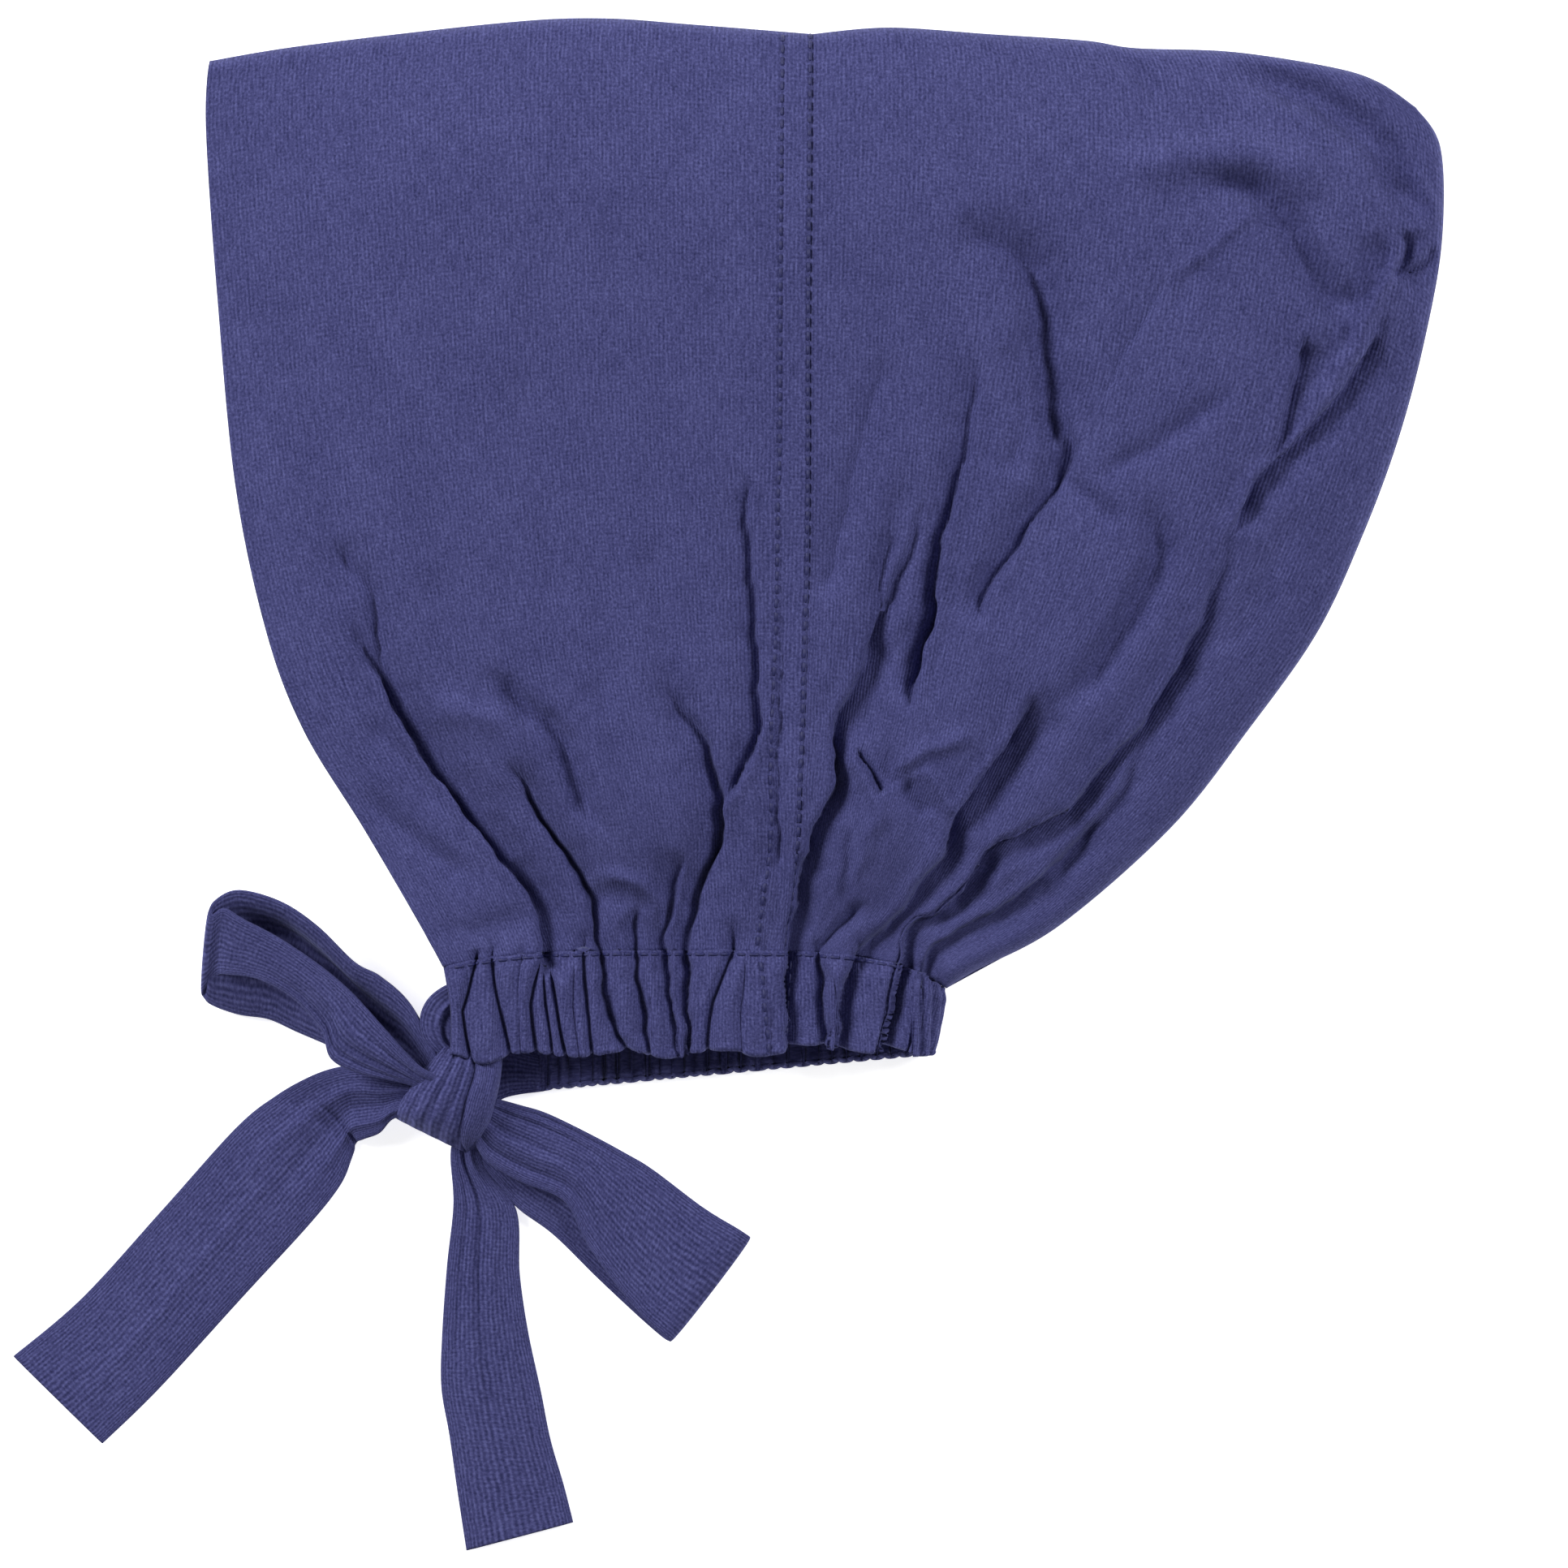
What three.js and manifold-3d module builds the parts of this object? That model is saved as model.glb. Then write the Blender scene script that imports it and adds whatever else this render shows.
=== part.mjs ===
// Hijab underscarf cap in knitted jersey, lying on its side on a flat surface.
//
// Millimetres, +Z up. The face opening is at -X, the crown fold along the top at +Y, the back of the
// head is the fold at +X, and the gathered neck with its elastic casing and bow is at -Y. The lower
// layer lies on z = 0. The origin is the point of the lower layer that the seam passes at mid depth.
//
// Each soft piece is a sheet worked out on a grid: a patch between four edge curves gives its plan, a
// height rule puffs it up between the folds, and a table of creases presses it in. The sheet then gets
// its wall. The ties are ribbons carried along short tables of sections and trimmed by the knot.

import * as THREE from 'three';
import { mergeVertices } from 'three/addons/utils/BufferGeometryUtils.js';
import Module from 'manifold-3d';

const wasm = await Module();
wasm.setup();

// Driving dimensions of the cap
const CAP_LENGTH = 259; // face edge to the fold at the back of the head
const CAP_DEPTH = 195; // crown fold to the top of the neck casing
const CLOTH = 1.2; // wall of the jersey
const SEAT_GAP = 0.4; // clearance between neighbouring pieces
const CASING_GAP = 0.7; // clearance along the stitched edge of the casing
const EDGE_HEIGHT = 6.4; // height of the rounded fold where the two layers meet
const FACE_HEIGHT = 8; // height of the open face edge
const PUFF = 11; // how far the upper layer stands above the folds
const PUFF_REACH = 46; // distance in from a fold over which it rises
const FACE_REACH = 70; // distance in from the face edge over which it rises
const SEAM_BAND = 6.2; // width of the seam allowance between the two stitch rows
const SEAM_STEP = 2.5; // width of the slope beside the seam allowance
const SEAM_RELIEF = 0.7; // how far the seam allowance stands up
const EDGE_FADE = 12.8; // distance in from a fold over which creases and the seam begin
const FACE_FADE = 17.5; // the same at the face edge

// Driving dimensions of the neck casing
const CASING_LENGTH = 105; // upper strip, face corner to the turn at the back
const CASING_WIDTH = 22;
const CASING_WALL = 2.6; // two layers of jersey and the elastic between them
const CASING_HEIGHT = 12.6; // upper strip's top face above the surface
const ARCH_FACE = 3.4; // how far the stitched edge drops at the face corner
const ARCH_BACK = 8; // and at the turn at the back
const CASING_PLEAT = 1.5; // depth of a full pleat pressed into the upper strip
const LOWER_DROP = 8.5; // how far the lower layer shows below the upper one at the face corner
const LOWER_SETBACK = 13; // how much shorter the lower strip is at the face corner
const NECK_REACH = 34; // length of cloth over which the neck's height and pleats fade into the body

// Driving dimensions of the tie
const TIE_WIDTH = 26;
const TIE_WALL = 1.6; // a flat tube, two layers of jersey
const KNOT_LENGTH = 22;
const KNOT_WIDTH = 18.5;
const KNOT_HEIGHT = 14;
const KNOT_RIB = 0.8; // relief of the cloth wrapped round the knot
const KNOT_TURN = -60; // degrees from +X to the knot's long way
const KNOT_BESIDE = 1.6; // knot centre to the right of the casing's left end
const KNOT_BELOW = 10.6; // knot centre below the casing's lower edge
const TAIL_LEFT_LENGTH = 104; // knot centre to the cut end
const TAIL_LOWER_LENGTH = 91.5;
const LOOP_UPPER_LENGTH = 64; // knot centre to the end of the loop
const LOOP_LOWER_LENGTH = 66;
const LEAD_WIDTH = 11; // bunched tie where it leaves the casing
const LEAD_LOWER_UP = 0.35; // middle of the lower lead above the lower strip's hem, in lead widths

// Places given as shares of the cap's length and depth, from the face edge and from the crown
const ORIGIN_SHARE = { u: 0.4754, v: 0.5641 };
const NECK_SHARE = { u: 0.192, v: 1 };
const CASING_SEAM = 0.675; // seam along the casing, a share of its length

// Outline, a row for each point that its shape needs
const CROWN_FRONT = [
  { u: 0.002, v: 0.046 },
  { u: 0.08, v: 0.029 },
  { u: 0.238, v: 0.005 },
  { u: 0.317, v: 0 },
  { u: 0.395, v: 0.007 },
  { u: 0.489, v: 0.017 },
];
const CROWN_BACK = [
  { u: 0.489, v: 0.017 },
  { u: 0.551, v: 0.01 },
  { u: 0.632, v: 0.017 },
  { u: 0.71, v: 0.024 },
  { u: 0.75, v: 0.032 },
  { u: 0.828, v: 0.036 },
  { u: 0.907, v: 0.052 },
  { u: 0.946, v: 0.068 },
  { u: 0.977, v: 0.096 },
];
const FACE_EDGE = [
  { u: 0.174, v: 0.974 },
  { u: 0.127, v: 0.869 },
  { u: 0.079, v: 0.765 },
  { u: 0.049, v: 0.66 },
  { u: 0.024, v: 0.503 },
  { u: 0.009, v: 0.294 },
  { u: 0, v: 0.12 },
  { u: 0.002, v: 0.046 },
];
const SEAM_LINE = [
  { u: 0.479, v: 0.852 },
  { u: 0.486, v: 0.6 },
  { u: 0.487, v: 0.33 },
  { u: 0.489, v: 0.017 },
];
const BACK_EDGE = [
  { u: 0.621, v: 1.022 },
  { u: 0.689, v: 0.974 },
  { u: 0.779, v: 0.869 },
  { u: 0.841, v: 0.765 },
  { u: 0.897, v: 0.66 },
  { u: 0.934, v: 0.555 },
  { u: 0.963, v: 0.451 },
  { u: 0.984, v: 0.346 },
  { u: 0.998, v: 0.24 },
  { u: 0.997, v: 0.14 },
  { u: 0.977, v: 0.096 },
];

// Creases of the upper layer, a row for each. Width and depth are shares of a full crease, and the path
// runs in shares of the cap's length and depth, from the shallow end to the neck or to the other end
const CREASE_WIDTH = 5.6; // half width of a full crease
const CREASE_DEPTH = 5; // depth of a full crease
const CREASES = [
  {
    name: 'cheek', width: 0.9, depth: 1,
    path: [[0.1, 0.56], [0.14, 0.7], [0.187, 0.817], [0.233, 0.895], [0.271, 1]],
  },
  {
    name: 'temple', width: 0.8, depth: 0.8,
    path: [[0.25, 0.79], [0.272, 0.86], [0.311, 0.95], [0.318, 1]],
  },
  {
    name: 'jaw', width: 0.9, depth: 0.5,
    path: [[0.121, 0.817], [0.161, 0.865], [0.213, 0.926]],
  },
  {
    name: 'ear soft', width: 1.3, depth: 0.4,
    path: [[0.259, 0.4], [0.273, 0.51], [0.285, 0.6]],
  },
  {
    name: 'ear', width: 0.7, depth: 0.7,
    path: [[0.437, 0.5], [0.441, 0.61], [0.45, 0.78], [0.433, 0.84]],
  },
  {
    name: 'ear low', width: 0.7, depth: 1,
    path: [[0.39, 0.747], [0.414, 0.84], [0.4, 0.948], [0.392, 1]],
  },
  {
    name: 'seam low', width: 0.8, depth: 1.1,
    path: [[0.577, 0.5], [0.54, 0.64], [0.507, 0.773], [0.485, 0.904], [0.472, 1]],
  },
  {
    name: 'seam high', width: 0.8, depth: 0.7,
    path: [[0.616, 0.37], [0.603, 0.52], [0.564, 0.747]],
  },
  {
    name: 'crown', width: 1, depth: 0.9,
    path: [[0.608, 0.21], [0.67, 0.27], [0.677, 0.346], [0.685, 0.486]],
  },
  {
    name: 'crown low', width: 1, depth: 0.8,
    path: [[0.7, 0.44], [0.685, 0.5], [0.643, 0.59], [0.616, 0.669]],
  },
  {
    name: 'nape', width: 0.8, depth: 1,
    path: [[0.698, 0.721], [0.633, 0.804], [0.597, 0.887], [0.525, 0.996]],
  },
  {
    name: 'long', width: 0.9, depth: 1,
    path: [[0.955, 0.285], [0.905, 0.416], [0.839, 0.507], [0.751, 0.765], [0.646, 0.878], [0.559, 1]],
  },
  {
    name: 'hem', width: 0.8, depth: 1,
    path: [[0.731, 0.852], [0.659, 0.939], [0.58, 1.02]],
  },
  {
    name: 'back soft', width: 1.3, depth: 0.6,
    path: [[0.777, 0.187], [0.852, 0.198], [0.889, 0.285], [0.927, 0.322]],
  },
  {
    name: 'back high', width: 1.3, depth: 0.8,
    path: [[0.869, 0.083], [0.948, 0.141], [0.97, 0.24]],
  },
];

// Pleats of the casing, a share along the strip, with depth and half width as shares of a full pleat
const PLEAT_WIDTH = 1.6;
const PLEAT_FOOT = 1.5; // half the width of a pleat's foot, in half widths
const PLEAT_HEM = 0.6; // depth at the casing's two edges, a share of the depth at mid width
const PLEATS = [
  { at: 0.1, depth: 0.7, width: 1 },
  { at: 0.19, depth: 1, width: 1.3 },
  { at: 0.27, depth: 0.8, width: 0.9 },
  { at: 0.32, depth: 0.9, width: 0.9 },
  { at: 0.39, depth: 1, width: 1 },
  { at: 0.44, depth: 0.7, width: 0.8 },
  { at: 0.49, depth: 1, width: 1.2 },
  { at: 0.54, depth: 1, width: 1 },
  { at: 0.675, depth: 0.9, width: 0.9 },
  { at: 0.73, depth: 0.9, width: 0.9 },
  { at: 0.78, depth: 0.9, width: 1 },
  { at: 0.86, depth: 0.9, width: 1.2 },
  { at: 0.93, depth: 0.9, width: 0.9 },
];

// Ribbons of the tie. Along and side are shares of the ribbon's length in its own heading, lift is a
// share of the knot's height for the middle of the cloth, width a share of the tie's width, and tilt
// the degrees that its cross direction leans up on the left of the heading
const TAIL_LEFT = {
  heading: 216.8,
  rows: [
    { along: 0, side: 0, lift: 0.2, width: 0.45, tilt: 0 },
    { along: 0.09, side: -0.068, lift: 0.18, width: 0.42, tilt: 0 },
    { along: 0.148, side: -0.111, lift: 0.14, width: 0.56, tilt: 0 },
    { along: 0.277, side: -0.121, lift: 0.12, width: 0.88, tilt: 0 },
    { along: 0.369, side: -0.107, lift: 0.08, width: 0.95, tilt: 0 },
    { along: 0.585, side: -0.064, lift: 0.07, width: 0.95, tilt: 0 },
    { along: 0.827, side: -0.018, lift: 0.07, width: 0.96, tilt: 0 },
    { along: 1, side: 0, lift: 0.06, width: 1, tilt: 0 },
  ],
};
const TAIL_LOWER = {
  heading: 278.5,
  rows: [
    { along: 0, side: 0, lift: 0.2, width: 0.3, tilt: 0 },
    { along: 0.137, side: 0.011, lift: 0.12, width: 0.31, tilt: 0 },
    { along: 0.239, side: 0.025, lift: 0.06, width: 0.48, tilt: 0 },
    { along: 0.386, side: 0.008, lift: 0.06, width: 0.58, tilt: 0 },
    { along: 0.598, side: -0.014, lift: 0.06, width: 0.76, tilt: 0 },
    { along: 0.72, side: -0.018, lift: 0.06, width: 0.78, tilt: 0 },
    { along: 1, side: 0, lift: 0.06, width: 0.88, tilt: 0 },
  ],
};
const LOOP_LOWER = {
  heading: 324.1,
  rows: [
    { along: 0, side: 0, lift: 0.62, width: 0.5, tilt: 0 },
    { along: 0.16, side: 0.02, lift: 0.56, width: 0.52, tilt: 0 },
    { along: 0.37, side: 0.05, lift: 0.48, width: 0.68, tilt: 0 },
    { along: 0.6, side: 0.045, lift: 0.38, width: 0.8, tilt: 0 },
    { along: 0.85, side: 0.01, lift: 0.3, width: 0.95, tilt: 0 },
    { along: 0.96, side: 0, lift: 0.27, width: 1, tilt: 0 },
    { along: 1, side: 0, lift: 0.17, width: 1, tilt: 0 },
    { along: 0.96, side: -0.012, lift: 0.07, width: 1, tilt: 0 },
    { along: 0.8, side: -0.012, lift: 0.065, width: 0.95, tilt: 0 },
    { along: 0.55, side: -0.01, lift: 0.07, width: 0.85, tilt: 0 },
    { along: 0.37, side: 0.01, lift: 0.2, width: 0.7, tilt: 0 },
    { along: 0.2, side: 0.02, lift: 0.33, width: 0.5, tilt: 0 },
    { along: 0, side: 0, lift: 0.38, width: 0.4, tilt: 0 },
  ],
};
const LOOP_UPPER = {
  heading: 144,
  rows: [
    { along: 0, side: 0, lift: 0.86, width: 0.4, tilt: 0 },
    { along: 0.2, side: 0.02, lift: 0.88, width: 0.45, tilt: -12 },
    { along: 0.45, side: 0.03, lift: 0.8, width: 0.62, tilt: -20 },
    { along: 0.7, side: 0.02, lift: 0.74, width: 0.75, tilt: -28 },
    { along: 0.92, side: 0.03, lift: 0.64, width: 0.86, tilt: -24 },
    { along: 1, side: 0.04, lift: 0.4, width: 0.95, tilt: -10 },
    { along: 0.94, side: 0.02, lift: 0.12, width: 0.95, tilt: 0 },
    { along: 0.75, side: 0, lift: 0.06, width: 0.95, tilt: 0 },
    { along: 0.5, side: -0.03, lift: 0.12, width: 0.85, tilt: 0 },
    { along: 0.25, side: 0, lift: 0.66, width: 0.42, tilt: 0 },
    { along: 0, side: 0, lift: 0.66, width: 0.4, tilt: 0 },
  ],
};

// The short leads from the casing's ends into the knot, a row for each section. Out is the distance to
// the left of the casing's end as a share of the lead's width, down the share of the way to the knot's
// centre, lift the share of the way from the casing's strip to the surface
const LEAD_UPPER = [
  { out: 0, down: 0, lift: 0, width: 1 },
  { out: 0.22, down: 0.03, lift: 0.01, width: 0.8 },
  { out: 0.38, down: 0.2, lift: 0.46, width: 0.45 },
  { out: 0.3, down: 0.48, lift: 0.62, width: 0.4 },
  { out: 0.1, down: 0.85, lift: 0.6, width: 0.45 },
];
const LEAD_LOWER = [
  { out: 0, down: 0, lift: 0, width: 0.65 },
  { out: 0.25, down: 0.03, lift: 0, width: 0.65 },
  { out: 0.6, down: 0.3, lift: 0, width: 0.6 },
  { out: 0.9, down: 0.7, lift: 0, width: 0.6 },
];

// Grid counts and how strongly the grids crowd towards their ends
const COLUMNS = 22; // across one panel
const ROWS = 20; // neck to crown
const RIBBON_COLUMNS = 4;
const RIBBON_STEPS = 2; // along a ribbon between two sections
const LEAD_STEPS = 3;
const CASING_ROWS = 3;
const TURN_STEPS = 6; // round the casing's turn
const LOWER_STEPS = 14; // along the casing's lower strip
const KNOT_ROUND = 22;
const KNOT_RINGS = 12;
const ARC_DIVISIONS = 400;
const CROWN_CROWD = 2;
const NECK_CROWD = 1.25;
const BACK_CROWD = 2;

const COLOR = new THREE.Color(0x45466f);
const ROUGHNESS = 0.92;
const MERGE = 1e-4; // points nearer than this are one point

function mix(a, b, k) {
  return a + (b - a) * k;
}

function smoothStep(k) {
  const c = Math.min(Math.max(k, 0), 1);
  return c * c * (3 - 2 * c);
}

// Quarter circle: 0 at a fold, 1 from the radius on
function roundOver(distance, radius) {
  const k = 1 - Math.min(distance / radius, 1);
  return Math.sqrt(Math.max(1 - k * k, 0));
}

// Parabola: 0 at a fold, 1 from the reach on
function swell(distance, reach) {
  const k = 1 - Math.min(distance / reach, 1);
  return 1 - k * k;
}

function place({ u, v }) {
  return new THREE.Vector2((u - ORIGIN_SHARE.u) * CAP_LENGTH, (ORIGIN_SHARE.v - v) * CAP_DEPTH);
}

function smoothCurve(points) {
  const curve = new THREE.SplineCurve(points);
  curve.arcLengthDivisions = ARC_DIVISIONS;
  return (k) => curve.getPointAt(Math.min(Math.max(k, 0), 1));
}

// Neck line: the stitched edge of the casing, a share of its length from the face corner
const NECK_START = place(NECK_SHARE);

function neckPoint(share) {
  const arch = (share < 0.5 ? ARCH_FACE : ARCH_BACK) * (2 * share - 1) ** 4;
  return new THREE.Vector2(NECK_START.x + share * CASING_LENGTH, NECK_START.y - arch);
}

// How far the lower layer slips right and down from the upper one, 1 at the face corner's neck
function lowerSlip(slip) {
  return new THREE.Vector2(LOWER_SETBACK * slip, -LOWER_DROP * slip);
}

const faceEdge = smoothCurve([neckPoint(0), ...FACE_EDGE.map(place)]);
const seamLine = smoothCurve([neckPoint(CASING_SEAM), ...SEAM_LINE.map(place)]);
const backEdge = smoothCurve([neckPoint(1), ...BACK_EDGE.map(place)]);
const crownFront = smoothCurve(CROWN_FRONT.map(place));
const crownBack = smoothCurve(CROWN_BACK.map(place));

// The two panels in plan: left and right edge curves run from neck to crown, and the neck and crown
// curves run from left to right
const FRONT = {
  left: faceEdge,
  right: seamLine,
  bottom: (a) => neckPoint(a * CASING_SEAM),
  top: crownFront,
  shareOf: (a) => a * CASING_SEAM,
  gapShift: (a) => (-SEAT_GAP / 2) * a,
};
const BACK = {
  left: seamLine,
  right: backEdge,
  bottom: (a) => neckPoint(CASING_SEAM + a * (1 - CASING_SEAM)),
  top: crownBack,
  shareOf: (a) => CASING_SEAM + a * (1 - CASING_SEAM),
  gapShift: (a) => (SEAT_GAP / 2) * (1 - a),
};

// Patch between four curves: the two ruled surfaces less the one through the corners
function patch(panel, a, t) {
  const across = panel.left(t).lerp(panel.right(t), a);
  const along = panel.bottom(a).lerp(panel.top(a), t);
  const low = panel.bottom(0).lerp(panel.bottom(1), a);
  const high = panel.top(0).lerp(panel.top(1), a);
  return across.add(along).sub(low.lerp(high, t));
}

// Creases as densely sampled plan curves with their tapering strength
const CREASE_SAMPLES = 24;
const CREASE_START = 1 / 3; // share of a crease over which it comes in
const CREASE_END = 1 / 4; // and over which one that stops short of the neck goes out
const AT_NECK = 0.99; // a crease that ends this far down runs on into the casing
const creaseLines = CREASES.map((crease) => {
  const curve = smoothCurve(crease.path.map(([u, v]) => place({ u, v })));
  const runsOn = crease.path[crease.path.length - 1][1] >= AT_NECK;
  const samples = [];
  for (let i = 0; i <= CREASE_SAMPLES; i += 1) {
    const k = i / CREASE_SAMPLES;
    const start = smoothStep(k / CREASE_START);
    const end = runsOn ? 1 : smoothStep((1 - k) / CREASE_END);
    samples.push({ point: curve(k), strength: start * end });
  }
  return { ...crease, samples };
});

function creaseDepth(point) {
  let depth = 0;
  for (const crease of creaseLines) {
    const width = crease.width * CREASE_WIDTH;
    let press = 0;
    for (const { point: centre, strength } of crease.samples) {
      const k = point.distanceTo(centre) / width;
      press = Math.max(press, strength * Math.exp(-k * k));
    }
    depth = Math.max(depth, crease.depth * CREASE_DEPTH * press);
  }
  return depth;
}

// Pleat relief at a share of the casing's length, from 0 between pleats to 1 in a full pleat
function pleatPress(share) {
  let press = 0;
  for (const pleat of PLEATS) {
    const k = ((share - pleat.at) * CASING_LENGTH) / (PLEAT_WIDTH * pleat.width);
    press = Math.max(press, pleat.depth * Math.exp(-k * k));
  }
  return press;
}

// Height of the middle of the folded edges above the surface: higher where the casing turns
const NECK_TOP = CASING_HEIGHT - (CASING_WALL - CLOTH) / 2;

function neckShare(fromNeck) {
  return 1 - smoothStep(fromNeck / NECK_REACH);
}

// One point of the cap's outer surface. a runs across the panel, v from -1 at the lower layer's neck
// through 0 at the crown to 1 at the upper layer's neck
function capPoint(panel, a, v) {
  const t = 1 - Math.abs(v);
  const plan = patch(panel, a, t);
  const crown = panel.top(a).distanceTo(plan);
  const back = backEdge(t).distanceTo(plan);
  const face = faceEdge(t).distanceTo(plan);
  const fromNeck = panel.bottom(a).distanceTo(plan);
  const neck = neckShare(fromNeck);
  const middle = mix(EDGE_HEIGHT, NECK_TOP, neck) / 2;
  plan.x += panel.gapShift(a);
  const round = roundOver(crown, middle) * roundOver(back, middle);
  if (v < 0) {
    plan.add(lowerSlip((1 - panel.shareOf(a)) * (1 - t) ** 3));
    return new THREE.Vector3(plan.x, plan.y, middle * (1 - round));
  }
  const inner = swell(crown, PUFF_REACH) * swell(back, PUFF_REACH);
  const faceShare = mix((FACE_HEIGHT - EDGE_HEIGHT) / PUFF, 1, swell(face, FACE_REACH));
  const puff = PUFF * inner * faceShare * (1 - neck);
  const edge = swell(crown, EDGE_FADE) * swell(back, EDGE_FADE);
  const press = creaseDepth(plan) * edge * swell(face, FACE_FADE) * (1 - neck * neck);
  const pleats = pleatPress(panel.shareOf(a)) * CASING_PLEAT * neck * edge;
  const seam = panel === FRONT ? seamRelief(a, t) * edge * (1 - neck) : 0;
  return new THREE.Vector3(plan.x, plan.y, middle * (1 + round) + puff + seam - press - pleats);
}

// The seam allowance is turned to the front and stitched down there
function seamRelief(a, t) {
  const reach = seamLine(t).distanceTo(patch(FRONT, a, t));
  return SEAM_RELIEF * smoothStep((SEAM_BAND + SEAM_STEP - reach) / SEAM_STEP);
}

// Indexed sheet of quads from a grid of points
function gridSheet(grid) {
  const width = grid[0].length;
  const positions = grid.flat().flatMap((p) => [p.x, p.y, p.z]);
  const index = [];
  for (let j = 0; j + 1 < grid.length; j += 1) {
    for (let i = 0; i + 1 < width; i += 1) {
      const p = j * width + i;
      index.push(p, p + 1, p + width + 1, p, p + width + 1, p + width);
    }
  }
  const sheet = new THREE.BufferGeometry();
  sheet.setAttribute('position', new THREE.Float32BufferAttribute(positions, 3));
  sheet.setIndex(index);
  return sheet;
}

// Edges that belong to one triangle only
function rimEdges(index) {
  const edges = new Map();
  for (let k = 0; k < index.length; k += 3) {
    for (let side = 0; side < 3; side += 1) {
      const from = index[k + side];
      const to = index[k + ((side + 1) % 3)];
      if (from === to) continue;
      const back = `${to}_${from}`;
      if (edges.has(back)) edges.delete(back);
      else edges.set(`${from}_${to}`, [from, to]);
    }
  }
  return [...edges.values()];
}

// Points of a sheet moved along its normals
function offsetPoints(sheet, distance) {
  sheet.computeVertexNormals();
  const point = sheet.getAttribute('position');
  const normal = sheet.getAttribute('normal');
  const moved = [];
  for (let i = 0; i < point.count; i += 1) {
    moved.push(
      point.getX(i) + normal.getX(i) * distance,
      point.getY(i) + normal.getY(i) * distance,
      point.getZ(i) + normal.getZ(i) * distance,
    );
  }
  return moved;
}

// Closes an open sheet into a wall: the sheet's outer points, its inner points turned over, and a band
// of quads along every open edge
function wallBetween(sheet, outer, inner) {
  const index = [...sheet.index.array];
  const count = sheet.getAttribute('position').count;
  const positions = [...outer, ...inner];
  const closed = [];
  for (let k = 0; k < index.length; k += 3) {
    const [p, q, r] = [index[k], index[k + 1], index[k + 2]];
    if (p === q || q === r || r === p) continue;
    closed.push(p, q, r, r + count, q + count, p + count);
  }
  for (const [from, to] of rimEdges(index)) {
    closed.push(to, from, from + count, to, from + count, to + count);
  }
  const solid = new THREE.BufferGeometry();
  solid.setAttribute('position', new THREE.Float32BufferAttribute(positions, 3));
  solid.setIndex(closed);
  return solid;
}

// Grid stations from 0 to 1 that crowd towards the two ends
function stations(count, startCrowd, endCrowd) {
  const values = [];
  for (let i = 0; i <= count; i += 1) {
    const k = i / count;
    const early = k ** startCrowd;
    const late = 1 - (1 - k) ** endCrowd;
    values.push(mix(early, late, k));
  }
  return values;
}

function panelGeometry(panel, across) {
  const towardsNeck = stations(ROWS, CROWN_CROWD, NECK_CROWD);
  const rows = [...towardsNeck.slice(1).reverse().map((k) => -k), ...towardsNeck];
  const grid = rows.map((v) => across.map((a) => capPoint(panel, a, v)));
  const sheet = mergeVertices(gridSheet(grid.reverse()), MERGE);
  return wallBetween(sheet, sheet.getAttribute('position').array, offsetPoints(sheet, -CLOTH));
}

// The front panel's last stations lie on the two stitch rows of the seam and between them
function frontPanel() {
  const width = seamLine(0.5).distanceTo(faceEdge(0.5));
  const seamStart = 1 - (SEAM_BAND + SEAM_STEP) / width;
  const across = stations(COLUMNS - 3, 1, 1).map((k) => k * seamStart);
  const band = SEAM_BAND / width;
  across.push(1 - band, 1 - band / 2, 1);
  return panelGeometry(FRONT, across);
}

function backPanel() {
  return panelGeometry(BACK, stations(COLUMNS, 1, BACK_CROWD));
}

// The casing in the XZ plane: upper strip from the face corner, the turn, and the lower strip back.
// A station holds its outward direction, its point on the middle line of the turn, the share of the
// neck line that it hangs from, and how far it slips as the lower layer does
function casingStations() {
  const radius = CASING_HEIGHT / 2;
  const straight = CASING_LENGTH - radius;
  const upper = new Set([0]);
  for (const pleat of PLEATS) {
    const half = (PLEAT_WIDTH * pleat.width * PLEAT_FOOT) / CASING_LENGTH;
    for (const share of [pleat.at - half, pleat.at, pleat.at + half]) upper.add(share);
  }
  const shares = [...upper].filter((share) => share * CASING_LENGTH < straight - radius / 2);
  shares.sort((p, q) => p - q);
  const list = shares.map((share) => ({ share, x: share * CASING_LENGTH, angle: Math.PI / 2, slip: 0 }));
  for (let i = 0; i <= TURN_STEPS; i += 1) {
    const angle = Math.PI / 2 - (Math.PI * i) / TURN_STEPS;
    const reach = straight + radius * Math.cos(angle);
    const upperShare = reach / CASING_LENGTH;
    const lowerShare = (reach - LOWER_SETBACK) / (CASING_LENGTH - LOWER_SETBACK);
    const share = angle >= 0 ? upperShare : lowerShare;
    list.push({ share, x: straight, angle, slip: angle >= 0 ? 0 : 1 - lowerShare });
  }
  const first = (straight - LOWER_SETBACK) / (CASING_LENGTH - LOWER_SETBACK);
  for (let i = 1; i <= LOWER_STEPS; i += 1) {
    const share = first * (1 - i / LOWER_STEPS);
    const x = share * CASING_LENGTH + LOWER_SETBACK * (1 - share);
    list.push({ share, x, angle: -Math.PI / 2, slip: 1 - share });
  }
  return list;
}

// One point of the casing at a station, down its width and at a distance out from its middle line
function casingPoint(station, down, radius) {
  const edge = neckPoint(station.share).y;
  const hem = NECK_START.y - CASING_WIDTH;
  return new THREE.Vector3(
    NECK_START.x + station.x + radius * Math.cos(station.angle),
    mix(edge, hem, down) - CASING_GAP + lowerSlip(station.slip).y,
    CASING_HEIGHT / 2 + radius * Math.sin(station.angle),
  );
}

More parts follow.
